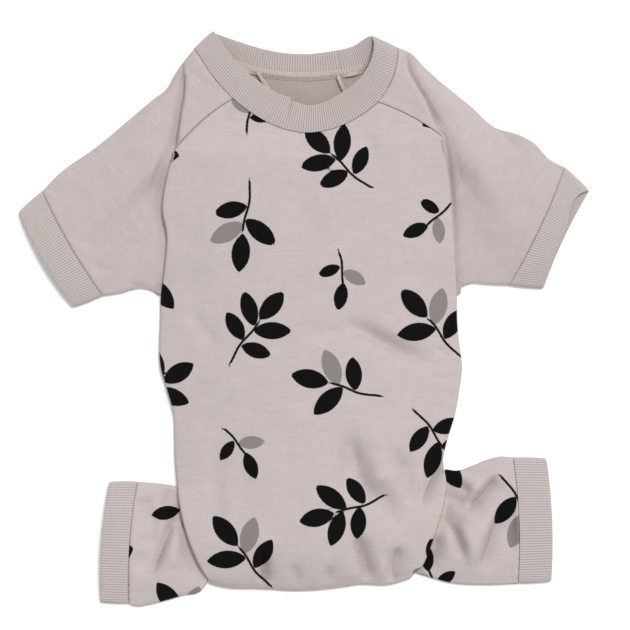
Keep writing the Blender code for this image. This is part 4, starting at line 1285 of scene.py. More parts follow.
@dataclass(frozen=True)
class SeamAllowance:
    """The overlocked seam allowance that shows across the inside of the back of the neck."""

    neck: Neck = field(default_factory=Neck)
    ends: tuple[float, float] = (12.9, 17.1)
    width: float = 0.0066
    height: float = 0.0030
    wall: float = 0.0007
    drop: float = 0.0022
    # Where its free edge stands up, in rows of the seam's table, over how many rows, and how far.
    raised: tuple[float, float] = (13.35, 16.5)
    raised_over: float = 0.24
    lift: float = 0.0030
    # The raglan seams' allowances, which stand up from the back's cloth, from the neck seam outwards.
    spurs: tuple[tuple[tuple[float, float, float], ...], ...] = (
        ((-38.6, 166.5, 3.4), (-35.8, 161.5, 3.8), (-31.0, 154.5, 3.2), (-26.0, 148.0, 2.2)),
        ((21.6, 164.0, 3.4), (23.8, 158.0, 3.9), (27.2, 151.0, 3.4), (32.0, 143.0, 2.2)),
    )
    spur_section: tuple[float, float] = (0.0017, 0.55)
    stitch: float = 0.0023  # length of one overlock stitch
    thread: float = 0.00024

    def strip(self) -> tuple[Array, Array]:
        """The strip's closed grid and its cloth plan: a flat band with a frayed, wavy outline."""
        at = np.linspace(*self.ends, 260)
        plan, _, lean, _ = self.neck.seam(at)
        square = direction(lean)
        across = np.linspace(-0.5, 0.5, 9)
        random = np.random.default_rng(5)
        fray = np.convolve(random.normal(0, 1, len(at) + 8), np.ones(5) / 5, "same")[4:-4] * 0.00022
        width = self.width * across[None] + fray[:, None] * np.abs(across[None]) * 2
        wave = 0.00018 * np.sin(np.arange(len(at)) * 0.9)[:, None] * (np.abs(across[None]) * 2)
        free = np.clip(-2 * across, 0, 1)
        top = self.level(across)[None] + wave + self.stands(at)[:, None] * free
        top = with_height(plan[:, None] + square[:, None] * width[..., None], top)
        thinner = with_height(np.zeros((9, 2)), self.wall * (1 - 0.75 * smooth(-2 * across)))
        low = top - thinner
        points = np.concatenate([top, low[:, ::-1]], 1)
        arc = np.broadcast_to(arc_lengths(plan)[:, None], points.shape[:2])
        cloth = np.stack([arc, points[..., 1]], -1)
        return points, cloth

    def spur(self, side: Side) -> Array:
        """One raglan allowance as a grid of flattened rings with a frayed outline."""
        given = np.array(self.spurs[side]) / 1000
        path = curve(np.arange(len(given)), given, np.linspace(0, len(given) - 1, 90))
        radius, squash = self.spur_section
        random = np.random.default_rng(7 + side)
        fray = 1 + 0.16 * random.normal(0, 1, len(path))[:, None]
        rings = tube(path, radius, 10)[:, :-1]
        away = rings - path[:, None]
        away[..., :2] *= fray[..., None]
        away[..., 2] *= squash
        return path[:, None] + away

    def stands(self, at: Array) -> Array:
        """How far the free edge stands up at places along the seam."""
        bells = (np.exp(-(((at - row) / self.raised_over) ** 2)) for row in self.raised)
        return self.lift * sum(bells)

    def level(self, across: Array) -> Array:
        """Height of the strip's upper face, from the band at one edge down to the cloth's other."""
        return self.height + self.wall - self.drop * smooth(-2 * across + 0.1)

    def overlock(self) -> Array:
        """The overlock thread's path: slanted stitches across the strip with a loop at each edge."""
        first, last = self.ends
        fine = np.linspace(first + 0.02, last - 0.02, 2000)
        plan = self.neck.seam(fine)[0]
        arc = arc_lengths(plan)
        count = int(arc[-1] / self.stitch)
        turn = np.linspace(0, count, 14 * count)
        swing = np.clip(1.25 * np.sin(2 * np.pi * turn), -1, 1)
        lead = 0.28 * np.sin(4 * np.pi * turn) * self.stitch
        where = np.interp(turn * self.stitch + lead, arc, fine)
        base, _, lean, _ = self.neck.seam(where)
        side = base + direction(lean) * (0.46 * self.width * swing)[:, None]
        lifted = self.stands(where) * np.clip(-0.92 * swing, 0, 1)
        return with_height(side, self.level(0.46 * swing) + self.thread * 0.8 + lifted)


def tube(path: Array, radius: float, sides: int = 5) -> Array:
    """A grid round a path: a circle of that radius, square to the path at each point."""
    along = unit(np.gradient(path, axis=0))
    across = unit(np.cross(along, np.array([0, 0, 1.0])))
    upward = np.cross(across, along)
    angle = np.linspace(0, 2 * np.pi, sides + 1)[None, :, None]
    return path[:, None] + radius * (across[:, None] * np.cos(angle) + upward[:, None] * np.sin(angle))


@dataclass(frozen=True)
class Leaf:
    """A pointed leaf of the print, in millimetres of its sprig: root, heading, length and width."""

    root: tuple[float, float]
    heading: float
    length: float
    width: float
    grey: bool = False

    def distance(self, points: Array) -> Array:
        """Signed distance to the leaf, negative inside: two circle arcs that meet at its ends."""
        way = direction(self.heading)
        half, wide = self.length / 2, self.width / 2
        away = points - np.array(self.root) - way * half
        along = np.abs(away @ way)
        aside = np.abs(away @ square_to(way))
        off = (half**2 - wide**2) / (2 * wide)
        at_tip = (along - half) * off > aside * half
        tip = np.hypot(along - half, aside)
        return np.where(at_tip, tip, np.hypot(along, aside + off) - off - wide)


# A sprig's middle line, from its foot up, in millimetres, and its leaves.
STEM = ((1.5, -27.0), (-0.8, -13.0), (0.6, 0.0), (0.0, 11.0))
SPRIGS = {
    Motif.SPRIG: (
        Leaf((0.0, 9.0), 86, 25, 12.5),
        Leaf((0.2, 3.0), 144, 26, 11.5),
        Leaf((0.4, 0.0), 36, 27, 12.0),
        Leaf((-0.4, -9.0), 158, 23, 11.0),
        Leaf((0.0, -13.0), 18, 22, 10.5),
    ),
    Motif.SHADED: (
        Leaf((0.0, 9.0), 94, 27, 13.0),
        Leaf((0.2, 2.0), 38, 27, 12.5, grey=True),
        Leaf((0.3, -1.0), 150, 28, 12.5),
        Leaf((-0.2, -10.0), 22, 24, 11.5),
    ),
    Motif.SMALL: (
        Leaf((0.0, 2.0), 70, 20, 9.5),
        Leaf((-0.2, -6.0), 142, 19, 9.0, grey=True),
        Leaf((0.2, -9.0), 12, 17, 8.0),
    ),
}


@dataclass(frozen=True)
class Print:
    """All-over print of leaf sprigs, tossed over the cloth in a half-drop layout.

    Attributes:
        column: Distance between two columns of sprigs, in millimetres.
        row: Distance between two sprigs of a column.
        scale: Size of the sprigs.
        stem: Width of the stems.
        near: How far round a stem its surroundings reach.
        seed: Seed of the sprigs' turns and small shifts.
    """

    column: float = 71.0
    row: float = 86.0
    scale: float = 1.08
    stem: float = 1.7
    near: float = 3.0
    seed: int = 8

    def masks(self, points: Array, shift: tuple[float, float] = (0.0, 0.0)) -> dict[str, Array]:
        """Where points lie to the print's outlines, in millimetres.

        A stem is thinner than the grid, so its middle line is kept as a signed distance, which
        passes through zero there, and the shader gives it its width. A second value tells how near
        the stem itself is.

        Args:
            points: Places on the cloth in metres.
            shift: Where this cloth was cut from the printed one, in millimetres.

        Returns:
            Distances inside the two inks, aside from the nearest stem, and inside its surroundings.
        """
        cloth = points * 1000 + np.array(shift)
        far = np.full(cloth.shape[:-1], 30.0)
        ink = {"black": far, "grey": far}
        aside, closest = far.copy(), far.copy()
        random = np.random.default_rng(self.seed)
        order = (Motif.SPRIG, Motif.SMALL, Motif.SHADED)
        for i in range(-3, 4):
            for j in range(-4, 4):
                jitter, turn = random.uniform(-5, 5, 2), random.uniform(-75, 75) + 180 * ((i + j) % 2)
                centre = np.array([i * self.column, j * self.row + (i % 2) * self.row / 2]) + jitter
                motif = order[(i + 2 * j) % 3]
                x, y = direction(turn)
                own = (cloth - centre) @ np.array([[x, -y], [y, x]]) / self.scale
                for leaf in SPRIGS[motif]:
                    name = "grey" if leaf.grey else "black"
                    ink[name] = np.minimum(ink[name], leaf.distance(own))
                first = 0.6 if motif is Motif.SMALL else 0.0
                stem = curve(np.arange(4), np.array(STEM), np.linspace(first, 2.6, 14))
                signed = nearest(own, stem)[0]
                aside = np.where(np.abs(signed) < closest, signed, aside)
                closest = np.minimum(closest, np.abs(signed))
        found = {"ink_" + name: -distance for name, distance in ink.items()}
        return found | {"stem_aside": aside, "stem_near": self.near - closest}


Socket = bpy.types.NodeSocket


class Look:
    """A new material: its node tree and its Principled shader."""

    def __init__(self, name: str) -> None:
        """Makes the material."""
        self.made = bpy.data.materials.new(name)
        self.made.use_nodes = True
        self.tree = self.made.node_tree

    def feed(self, socket: Socket, value: object) -> None:
        """Sets an input to a value, or links it to the output that feeds it."""
        if isinstance(value, Socket):
            self.tree.links.new(value, socket)
        elif value is not None:
            socket.default_value = value

    def node(self, kind: str, *feeds: object, out: int | str = 0, **named: object) -> Socket:
        """Adds a node with its settings and links.

        Args:
            kind: The node's type without its ShaderNode and, after a colon, a maths node's operation.
            feeds: What its first inputs take, in order.
            out: Which of its outputs is asked for.
            named: Further inputs, which start with a capital, and its own properties, which don't.

        Returns:
            The output.
        """
        kind, _, operation = kind.partition(":")
        made = self.tree.nodes.new("ShaderNode" + kind)
        if operation:
            made.operation = operation
        for name, value in named.items():
            if name[0].islower():
                setattr(made, name, value)
        for name, value in (dict(enumerate(feeds)) | named).items():
            if isinstance(name, int) or name[0].isupper():
                self.feed(made.inputs[name if isinstance(name, int) else name.replace("_", " ")], value)
        return made.outputs[out]

    def mixed(self, share: object, first: object, second: object, mode: str = "MIX") -> Socket:
        """Two colours mixed: a mix node takes them at its seventh and eighth inputs."""
        feeds = (share, *[None] * 5, first, second)
        return self.node("Mix", *feeds, out=2, data_type="RGBA", blend_type=mode)

    def shaded(self, cloth: str, *steps: tuple[Socket, float, float]) -> Socket:
        """A hex colour, darker or lighter by each pattern times its gain plus its rest."""
        shade: object = 1.0
        for pattern, gain, rest in steps:
            step = self.node("Math:MULTIPLY_ADD", pattern, gain, rest)
            shade = self.node("Math:MULTIPLY", shade, step)
        return self.mixed(1.0, linear(cloth), shade, "MULTIPLY")

    def finish(self, **named: object) -> bpy.types.Material:
        """Sets or links the shader's inputs, with _ for a space, and hands over the material."""
        shader = self.tree.nodes["Principled BSDF"]
        for name, value in named.items():
            self.feed(shader.inputs[name.replace("_", " ")], value)
        return self.made


@dataclass(frozen=True)
class Jersey:
    """Single jersey of cotton, knitted on a circular machine and screen printed where it has ink.

    Attributes:
        name: The material's name.
        cloth: Colour of the yarn.
        printed: Whether it carries the print.
        wale: Width of a column of stitches. The real one is about 0.7 mm, too fine for the picture,
            so it is drawn coarser.
        course: Height of a row of stitches, drawn coarser likewise.
        depth: Height of a stitch over the gap beside it.
        black: Colour of the first ink.
        grey: Colour of the second ink.
    """

    name: str
    cloth: str
    printed: bool = False
    wale: float = 0.0011
    course: float = 0.0009
    depth: float = 0.00016
    black: str = "#080808"
    grey: str = "#8d8683"

    def material(self) -> bpy.types.Material:
        """The jersey's material."""
        look = Look(self.name)
        flat = look.node("UVMap", uv_map="cloth")
        stitches = look.node("Mapping", Vector=flat, Scale=(1 / self.wale, 1 / self.course, 1))
        across, up = (look.node("SeparateXYZ", stitches, out=axis) for axis in (0, 1))
        # The legs of a stitch lean to the middle of its column, which gives rows of small Vs.
        leg = look.node("Math:PINGPONG", across, 0.5)
        lean = look.node("Math:MULTIPLY_ADD", leg, 1.3, up)
        turns = (look.node("Math:MULTIPLY", part, 2 * np.pi) for part in (lean, leg))
        row, column = (look.node("Math:SINE", angle) for angle in turns)
        relief = look.node("Math:MULTIPLY_ADD", row, 0.35, column)
        # Rows of thicker and thinner yarn show as faint streaks across the cloth.
        rows = look.node("Mapping", Vector=flat, Scale=(45, 620, 1))
        streaks = look.node("TexNoise", Vector=rows, Scale=1.0, Detail=3.0, Roughness=0.6)
        # Lint and uneven dye give slow changes of shade.
        cloud = look.node("TexNoise", Vector=flat, Scale=130.0, Detail=4.0)
        grain = look.node("TexNoise", Vector=flat, Scale=950.0, Detail=1.0)
        # The crease line is a bump and also darkens the colour: painted shade at the bottom of each
        # fold.
        line = self.crease(look)
        steps = ((streaks, 0.20, 0.90), (grain, 0.28, 0.86), (cloud, 0.14, 0.93))
        # The stitches' relief makes the colour a little darker in the gaps between them: painted shade.
        colour = look.shaded(self.cloth, *steps, (relief, 0.030, 0.98), (line, -0.13, 1.0))
        if self.printed:
            colour = self.inked(look, colour, flat, relief)
        down = look.node("Math:MULTIPLY", line, -1.0)
        folded = look.node("Bump", Height=down, Strength=1.0, Distance=0.0006)
        height = look.node("Math:MULTIPLY_ADD", streaks, 0.8, relief)
        normal = look.node("Bump", Height=height, Strength=0.55, Distance=self.depth, Normal=folded)
        return look.finish(
            Base_Color=colour,
            Roughness=0.86,
            Specular_IOR_Level=0.06,
            Sheen_Weight=0.02,
            Sheen_Roughness=0.5,
            Normal=normal,
        )

    def crease(self, look: Look) -> Socket:
        """Depth in millimetres of the sharp line at a fold's bottom: a cliff on its steep side.

        The line sinks as a bell whose half width is 4 mm on one side and 1 mm on the other; the material
        bumps the cloth by it and darkens the colour by it as painted shade.
        """
        names = ("crease_aside", "crease_deep")
        aside, deep = (look.node("Attribute", out="Fac", attribute_name=name) for name in names)
        steep = look.node("Math:GREATER_THAN", aside, 0.0)
        width = look.node("Math:MULTIPLY_ADD", steep, -3.0, 4.0)
        share = look.node("Math:DIVIDE", look.node("Math:ABSOLUTE", aside), width)
        power = look.node("Math:MULTIPLY", look.node("Math:POWER", share, 1.3), -1.0)
        return look.node("Math:MULTIPLY", look.node("Math:EXPONENT", power), deep)

    def inked(self, look: Look, colour: Socket, flat: object, relief: object) -> object:
        """The cloth's colour with the print over it.

        The ink's edge is soft and follows the stitches, and it is thinner in the gaps between them.

        Args:
            look: The material.
            colour: The cloth's colour.
            flat: Places on the cloth.
            relief: Height of the stitches.

        Returns:
            The printed colour.
        """
        rough = look.node("TexNoise", Vector=flat, Scale=900.0, Detail=2.0)
        edge = look.node("Math:MULTIPLY_ADD", rough, 0.7, -0.35)
        thin = look.node("Math:MULTIPLY_ADD", relief, 0.004, 0.992)
        names = ("stem_aside", "stem_near", "ink_grey", "ink_black")
        aside, near, grey, black = (
            look.node("Attribute", out="Fac", attribute_name=name) for name in names
        )
        stem = look.node("Math:SUBTRACT", Print.stem / 2, look.node("Math:ABSOLUTE", aside))
        black = look.node("Math:MAXIMUM", black, look.node("Math:MINIMUM", stem, near))
        for inside, ink in ((grey, self.grey), (black, self.black)):
            inside = look.node("Math:ADD", inside, edge)
            cover = look.node("MapRange", Value=inside, From_Min=-0.22, From_Max=0.22)
            colour = look.mixed(look.node("Math:MULTIPLY", cover, thin), colour, linear(ink))
        return colour


@dataclass(frozen=True)
class RibKnit:
    """1x1 rib of cotton with some elastane, folded double.

    Attributes:
        name: The material's name.
        cloth: Colour of the yarn.
        groove: How much darker the bottom of a groove is drawn: painted shade in the rib's grooves.
        course: Height of a row of stitches.
    """

    name: str
    cloth: str
    groove: float = 0.34
    course: float = 0.0010

    def material(self) -> bpy.types.Material:
        """The rib's material."""
        look = Look(self.name)
        flat = look.node("UVMap", uv_map="cloth")
        groove = look.node("Attribute", out="Fac", attribute_name="groove")
        rows = look.node("Mapping", Vector=flat, Scale=(500, 1 / self.course, 1))
        stitch = look.node("TexNoise", Vector=rows, Scale=1.0, Detail=2.0)
        cloud = look.node("TexNoise", Vector=flat, Scale=160.0, Detail=3.0)
        # The grooves between the ribs darken the colour: painted shade.
        steps = ((groove, -self.groove, 1.0), (stitch, 0.16, 0.92), (cloud, 0.10, 0.95))
        return look.finish(
            Base_Color=look.shaded(self.cloth, *steps),
            Roughness=0.88,
            Specular_IOR_Level=0.06,
            Sheen_Weight=0.02,
            Normal=look.node("Bump", Height=stitch, Strength=0.5, Distance=0.0002),
        )


@dataclass(frozen=True)
class Thread:
    """Spun sewing thread: a twist drawn as fine noise."""

    name: str
    colour: str

    def material(self) -> bpy.types.Material:
        """The thread's material."""
        look = Look(self.name)
        place = look.node("TexCoord", out="Object")
        twist = look.node("TexNoise", Vector=place, Scale=2600.0, Detail=1.0)
        normal = look.node("Bump", Height=twist, Strength=0.5, Distance=0.0001)
        colour = look.shaded(self.colour, (twist, 0.3, 0.85))
        return look.finish(Base_Color=colour, Roughness=0.7, Normal=normal)


BODY_FOLDS = (
    Fold(((99.7, -114), (94.5, -132), (88.5, -146), (83, -161)), 5.5, 11, 0.2, 0.35, 1.4, 2.2),
    Fold(((22.9, -17.6), (56.2, -35.8), (68.9, -42.3), (98.4, -53.1)), 6.5, 8, 0.3, 0.4, 1.5, 1),
    Fold(((38, -18), (62, -27.5), (85, -34)), 7, -1.8),
    Fold(((94.2, -38), (107.7, -49.8)), 3.5, 2, 0.3, 0.4, 1.6, 0.5),
    Fold(
        ((35, -104.3), (36, -128.8), (43.4, -146.8), (57.7, -155.1), (69.2, -177.1)),
        7.5, 9.5, 0.4, 0.3, 1.6, 0.8,
    ),
    Fold(((48.7, -114.3), (50.2, -130), (58.4, -146)), 7, -2.6),
    Fold(((31.7, -96.3), (28.2, -128.3), (31, -156)), 6.5, 5),
    Fold(((61.2, -112.3), (74.2, -140.1), (79, -164)), 6, 7, 0.2, 0.4, 1.6, 0.5),
    Fold(((33, -176.1), (40.2, -198), (45.2, -219.6)), 5, 11, 0.4, 0.3, 1.6, 0.9),
    Fold(((66.2, -186.3), (63, -205), (67.2, -221.3)), 5, 10.5, 0.3, 0.3, 1.5, 1.4),
    Fold(((-36.8, -186.6), (-34.5, -206), (-32.1, -225.1)), 4.5, 10, 0.4, 0.3, 1.5, 1.4),
    Fold(((22.9, 98.7), (40, 104), (55.2, 118.4)), 7, 2.8, 0.3),
    Fold(((-66.3, -93.3), (-70, -140), (-62.3, -195.8)), 8, 2.4),
    Fold(((-46.3, -120.3), (-48, -160), (-52.3, -205.8)), 8, 1.8),
    Fold(((-14.8, -24.8), (20, -29), (57.2, -26.3)), 8, 2.4),
    Fold(((-95, -8), (-75, -30), (-66, -48)), 6, 1.8),
    Fold(((-8, -221), (-10, -198)), 5, 3.4, 0.2, 0.4, 1.6, 0.5),
    Fold(((14, -222), (17, -200)), 5, 3.6, 0.2, 0.4, 1.6, 0.5),
    Fold(((10, -60), (-5, -95)), 9, 1.4),
    Fold(((88, 30), (60, 10), (40, 12)), 8, 1.2),
    Fold(((-90, 60), (-84, 20), (-92, -20)), 9, 1.4),
    Fold(((-20, 90), (0, 50), (-6, 20)), 11, 1.2),
    Fold(((60, -196), (52, -208), (54, -220)), 5, -2.2),
    Fold(((28, -190), (30, -206), (28, -220)), 5, -1.8),
)
SLEEVE_FOLDS = (
    (
        Fold(
            ((-95.6, 180.5), (-93.6, 155.4), (-96.5, 134), (-101.6, 99.7)),
            6.5, 6, -0.8, 0.25, 1.3, 1.2,
        ),
        Fold(((-137.3, 11), (-124, 4), (-112.1, 1.4)), 3, 3.4, 0.2, 0.4, 1.5, 1),
        Fold(((-178.6, 37.5), (-154.1, 36.9)), 3.4, 1.5, 0.2, 0.4, 1.8),
        Fold(((-166.3, 21.4), (-142.8, 15.7)), 3.4, 1.5, 0.2, 0.4, 1.8),
        Fold(((-150, 112), (-120, 90)), 9, 1.2),
        Fold(((-138, 60), (-128, 30)), 9, 1.2),
    ),
    (
        Fold(
            ((75.4, 189.1), (75, 169.8), (80.7, 156.9), (88.9, 142.7), (99.9, 115.9)),
            5.5, 5.5, 0.7, 0.25, 1.3, 1.4,
        ),
        Fold(((135.4, 128.8), (150, 115.8), (164.2, 101.2)), 5.5, 4.8, 0.3, 0.4, 1.6, 0.5),
        Fold(((150, 84), (172, 58)), 8, 1),
        Fold(((120, 40), (146, 22)), 9, 1),
    ),
)
LEG_FOLDS = (
    (
        Fold(
            ((-95.8, -158.3), (-105, -180), (-111.1, -194.8), (-119.3, -217.6)),
            6.5, 9, -0.5, 0.35, 1.4, 1.4,
        ),
        Fold(((-92.8, -167.3), (-97, -185), (-102.1, -207.8)), 6.5, -3.4),
        Fold(((-133.6, -158.2), (-112.8, -152.6)), 3.2, 3, 0.2, 0.4, 1.5, 0.7),
        Fold(((-116.6, -154.3), (-117.5, -175), (-115.8, -199.1)), 6, 4.4),
        Fold(((-102, -140), (-111, -162)), 5, 5, 0.2, 0.4, 1.6, 0.6),
        Fold(((-126, -190), (-124, -212)), 6, 2),
    ),
    (
        Fold(((104.4, -130.8), (118, -139), (130.7, -148.1)), 4.5, -4.5, -0.3),
        Fold(((140.7, -133.6), (131, -147.5), (115.2, -163.6)), 6.5, 13, 0.5, 0.3, 1.5, 1.8),
        Fold(((93.9, -143.1), (108, -153), (123.4, -159.8)), 5.5, 10, 0.4, 0.35, 1.6, 0.8),
        Fold(((102, -131), (112, -143), (123, -150)), 4.5, 6, 0.2, 0.35, 1.6, 0.6),
        Fold(((146.7, -155.8), (136, -180), (126.2, -210.3)), 6, 10, 0.5, 0.35, 1.5, 1.2),
        Fold(((108.9, -167.6), (118, -184), (124.9, -206.3)), 5, -4.2, 0.2),
        Fold(((98.9, -165.6), (108, -178), (115.9, -200.3)), 5, 7.5, 0.3, 0.35, 1.5, 0.9),
        Fold(((93.4, -176.1), (87, -196), (82.2, -214.6)), 5, 10, 0.4, 0.3, 1.4, 1.6),
        Fold(((152, -140), (154, -170), (150, -200)), 7, 2.4),
    ),
)


@dataclass(frozen=True)
class Tailor(Garment):
    """Cuts, sews and dresses the jumpsuit's pieces.

    Attributes:
        body: The body's sizes and folds, to which the other pieces are cut.
        printed: The printed jersey, and plain, reverse, rib, cuff_rib, allowance and thread: the
            sleeves' jersey, the jerseys' inner face, the two ribs, the allowances and their thread.
        ink: The print.
        opening: Where the under half is open below the rump: from and to which share of the way
            down, and how much of the half width.
        cut_from: Where body and legs were cut from the printed cloth, in millimetres: the body's
            place, then the left leg's, then the right leg's.
    """

    body: Body = field(default_factory=lambda: Body(folds=BODY_FOLDS))
    printed: Jersey = Jersey("printed_cotton_jersey", "#c9bebc", printed=True)
    plain: Jersey = Jersey("plain_cotton_jersey", "#c7bbb9")
    # The reverse is darker than the face: partly the inner face's own duller tone, partly painted shade
    # for the garment's shaded inside.
    reverse: Jersey = Jersey("jersey_reverse", "#b9aba7", depth=0.0002)
    rib: RibKnit = RibKnit("neckband_rib", "#c6bbb8")
    cuff_rib: RibKnit = RibKnit("cuff_rib", "#c9bfbc")
    allowance: Jersey = Jersey("overlocked_edge", "#c7bbb6")
    thread: Thread = Thread("overlock_thread", "#d6ccc7")
    ink: Print = Print()
    opening: tuple[float, float, float] = (0.872, 0.962, 0.70)
    cut_from: tuple[tuple[float, float], ...] = ((47.0, 28.0), (21.0, 33.0), (51.0, 33.0))

    def torso(self) -> None:
        """The printed body, its sides turned under where they lie over the sleeves and legs."""
        body = self.body
        lower_over, lower_under, down = body.lower()
        yoke_over, yoke_under, along = body.yoke(lower_over[-1], lower_under[-1])
        over = np.concatenate([lower_over, yoke_over[1:]])
        under = np.concatenate([lower_under, yoke_under[1:]])
        columns = over.shape[1]
        s = edge_spacing(body.chest_width, CREASE, body.step)
        row = np.concatenate([down, np.full(len(yoke_over) - 1, -1.0)])
        top, bottom, half = self.opening
        hole = ((row > top) & (row < bottom))[:, None] & (np.abs(s) < half)[None]
        keep = ~hole[:-1, :-1]
        nearer = np.where(np.arange(columns)[None, :] < columns // 2, 0, columns - 1)
        fold_x = np.take_along_axis(over[..., 0], np.broadcast_to(nearer, over.shape[:2]), 1)
        mirrored = np.stack([2 * fold_x - under[..., 0], under[..., 1]], -1)
        patches = [Patch(over, over[..., :2]), Patch(under, mirrored, flip=True, keep=keep)]
        for side in Side:
            column = (0, -1)[side]
            zone = body.leg_lifted(side, down)
            patches += self.turned(over[: len(down), column], zone)
            fold = np.clip(along / body.fold_share, 0, 1)
            seam = body.over_arm(side, along)[1]
            patches += self.turned(yoke_over[:, column], smooth(fold / 0.2) * (1 - seam))
        inks = [self.ink.masks(patch.plan, self.cut_from[0]) for patch in patches]
        for i, ink in enumerate(inks):
            ink.update(creases(patches[i].points[..., :2], body.folds, i == 0))
        masks = {name: np.concatenate([ink[name].ravel() for ink in inks]) for name in inks[0]}
        piece = self.cloth("torso_jersey", patches, JERSEY, masks)
        self.join(piece, Slot.PRINTED, [self.printed.material(), self.reverse.material()], "torso")

    def turned(self, edge: Array, fullness: Array) -> list[Patch]:
        """The strip that turns under along one stretch of side fold, if there is one."""
        rows = np.nonzero(fullness > 1e-6)[0]
        if not len(rows):
            return []
        stretch = slice(max(rows[0] - 1, 0), rows[-1] + 2)
        inward = sideways(edge[:, :2], np.array([0, -0.05]))
        points = self.body.turned_edge(edge[stretch], inward[stretch], fullness[stretch])
        beyond = 2 * edge[stretch, None, :2] - points[..., :2]
        return [Patch(points, beyond)]

    def limb(self, limb: Limb, name: str, slot: Slot, flat: tuple[float, float, float]) -> Array:
        """One sleeve or leg.

        Args:
            limb: Its sizes.
            name: Sleeve or leg.
            slot: Its material slot.
            flat: Its cloth's width and length when it lies opened out, and its area; not used.

        Returns:
            The cuff seam's ends and a point behind them.
        """
        over, under, ends = limb.build()
        halves = [creases(half[..., :2], limb.folds, half is over) for half in (over, under)]
        masks = {key: np.concatenate([half[key].ravel() for half in halves]) for key in halves[0]}
        plans = [half[..., :2] for half in (over, under)]
        if slot is Slot.PRINTED:
            face = self.printed
            plan = np.concatenate([half.reshape(-1, 2) for half in plans])
            masks |= self.ink.masks(plan, self.cut_from[1 + limb.side])
        else:
            # The plain cloth's columns of stitches run along the sleeve.
            face, way = self.plain, direction(limb.heading)
            plans = [half @ np.stack([square_to(way), way], 1) for half in plans]
        patches = [Patch(over, plans[0]), Patch(under, plans[1], flip=True)]
        label = f"{name}_{limb.side.label}"
        piece = self.cloth(label + "_jersey", patches, JERSEY, masks)
        self.join(piece, slot, [face.material(), self.reverse.material()], label)
        return np.array([*ends, (over[0, 0, :2] + over[0, -1, :2]) / 2])

    def band(
        self, node: str, built: tuple[Array, Array, Array], rib: RibKnit, flat: tuple[float, float]
    ) -> None:
        """The neckband or a cuff from its closed grid, for the node of that name."""
        points, plan, groove = (closed_grid(values) for values in built)
        piece = self.cloth(node + "_rib", [Patch(points, plan)], 0, {"groove": groove})
        self.join(piece, Slot.RIB, [rib.material()], node)

    def neck_allowance(self) -> None:
        """The overlocked allowance inside the back of the neck, with its thread."""
        allowance = SeamAllowance(self.body.neck)
        points, plan = allowance.strip()
        piece = self.capped("neck_allowance_edge", points, plan)
        self.join(piece, Slot.ALLOWANCE, [self.allowance.material()], "neck_seam_allowance")
        thread = tube(allowance.overlock(), allowance.thread)
        strand = self.capped("neck_overlock_thread", thread[:, :-1], thread[:, :-1, :2])
        self.join(strand, Slot.ALLOWANCE, [self.thread.material()])
        spurs = []
        for side in Side:
            grid = allowance.spur(side)
            spurs.append(self.capped(f"raglan_allowance_{side.label}", grid, grid[..., :2]))
            self.join(spurs[-1], Slot.ALLOWANCE, [self.allowance.material()])


@dataclass(frozen=True)
class Studio:
    """White floor, soft light from the upper right and a camera that looks straight down."""

    sky: float = 0.45
    sun: float = 2.04
    sun_angle: float = 16.0
    sun_from: tuple[float, float] = (56.0, 68.0)  # azimuth from +X and elevation
    glow: float = 0.12
    field: float = VIEW_WIDTH

    def build(self) -> None:
        """Adds floor, light and camera."""
        scene = bpy.context.scene
        mesh = bpy.data.meshes.new("floor")
        mesh.from_pydata([(-4, -4, 0), (4, -4, 0), (4, 4, 0), (-4, 4, 0)], [], [(0, 1, 2, 3)])
        floor = bpy.data.objects.new("floor", mesh)
        scene.collection.objects.link(floor)
        paper = Look("white_paper").finish(
            Base_Color=(0.97, 0.97, 0.97, 1),
            Roughness=0.95,
            Specular_IOR_Level=0.0,
            Emission_Color=(1, 1, 1, 1),
            Emission_Strength=self.glow,
        )
        mesh.materials.append(paper)
        world = bpy.data.worlds.new("soft_room")
        world.use_nodes = True
        world.node_tree.nodes["Background"].inputs[0].default_value = (1, 1, 1, 1)
        world.node_tree.nodes["Background"].inputs[1].default_value = self.sky
        scene.world = world
        sun = bpy.data.lights.new("softbox", "SUN")
        sun.energy = self.sun
        sun.angle = np.radians(self.sun_angle)
        lamp = bpy.data.objects.new("softbox", sun)
        azimuth, elevation = self.sun_from
        lamp.rotation_euler = (0, np.radians(90 - elevation), np.radians(azimuth))
        scene.collection.objects.link(lamp)
        camera = bpy.data.cameras.new("camera")
        camera.lens = camera.sensor_width * CAMERA_HEIGHT / self.field
        eye = bpy.data.objects.new("camera", camera)
        eye.location = (*VIEW_CENTRE, CAMERA_HEIGHT)
        scene.collection.objects.link(eye)
        scene.camera = eye
        scene.view_settings.view_transform = "Standard"
        scene.view_settings.look = "None"


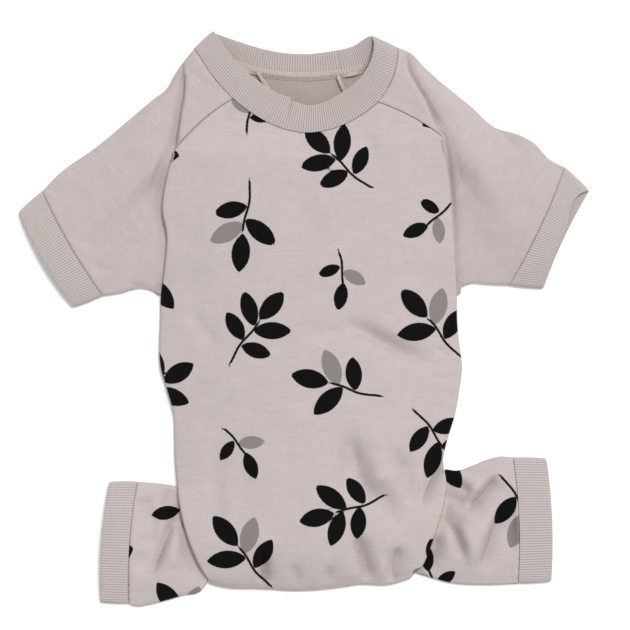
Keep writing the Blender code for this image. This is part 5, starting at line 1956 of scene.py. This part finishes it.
def sleeves(body: Body) -> tuple[Sleeve, Sleeve]:
    """The left and the right sleeve."""
    tables = list(zip(SLEEVE_UPPER, SLEEVE_LOWER, SLEEVE_FOLDS))
    right = {"valley": (0.673, 0.926, 0.07), "dip": (0.0026, 0.0014)}
    return (
        Sleeve(body, Side.LEFT, 0.1560, 0.0904, 0.0180, 223.1, 120.0, *tables[0]),
        Sleeve(body, Side.RIGHT, 0.1545, 0.0976, 0.0185, -35.4, 64.8, *tables[1], **right),
    )


def legs(body: Body) -> tuple[Leg, Leg]:
    """The left and the right leg."""
    tables = list(zip(LEG_UPPER, LEG_LOWER, LEG_FOLDS))
    return (
        Leg(body, Side.LEFT, 0.0288, 0.0914, 0.0175, 173.6, 86.0, *tables[0]),
        Leg(body, Side.RIGHT, 0.0512, 0.0944, 0.0185, 10.1, 92.2, *tables[1]),
    )


CUFFS = {
    "sleeve": (Cuff(), Cuff(length=0.0242, grip=0.83, heading=-24.4, gape=0.0068, hollow=0.0040)),
    "leg": (
        Cuff(length=0.0208, grip=0.99, heading=179.0),
        Cuff(length=0.0246, grip=0.98, heading=0.5),
    ),
}


def main() -> None:
    """Loads the frame, then builds and dresses every piece in order."""
    logging.basicConfig(level=logging.INFO, format="%(message)s")
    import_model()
    tailor = Tailor()
    tailor.torso()
    parts = (
        ("sleeve", sleeves(tailor.body), Slot.PLAIN, ((0.200, 0.230, 0.036),) * 2),
        ("leg", legs(tailor.body), Slot.PRINTED, ((0.190, 0.060, 0.009), (0.190, 0.078, 0.0125))),
    )
    for name, pair, slot, flat in parts:
        for limb in pair:
            mouth = tailor.limb(limb, name, slot, flat[limb.side])
            built = CUFFS[name][limb.side].build(mouth[:2], mouth[2])
            tailor.band(f"{name}_cuff_{limb.side.label}", built, tailor.cuff_rib, (0.190, 0.0235))
    neckband = Neckband(neck=tailor.body.neck).build()
    tailor.band("neckband", neckband, tailor.rib, (0.374, 0.0212))
    tailor.neck_allowance()
    Studio().build()


if __name__ == "__main__":
    main()
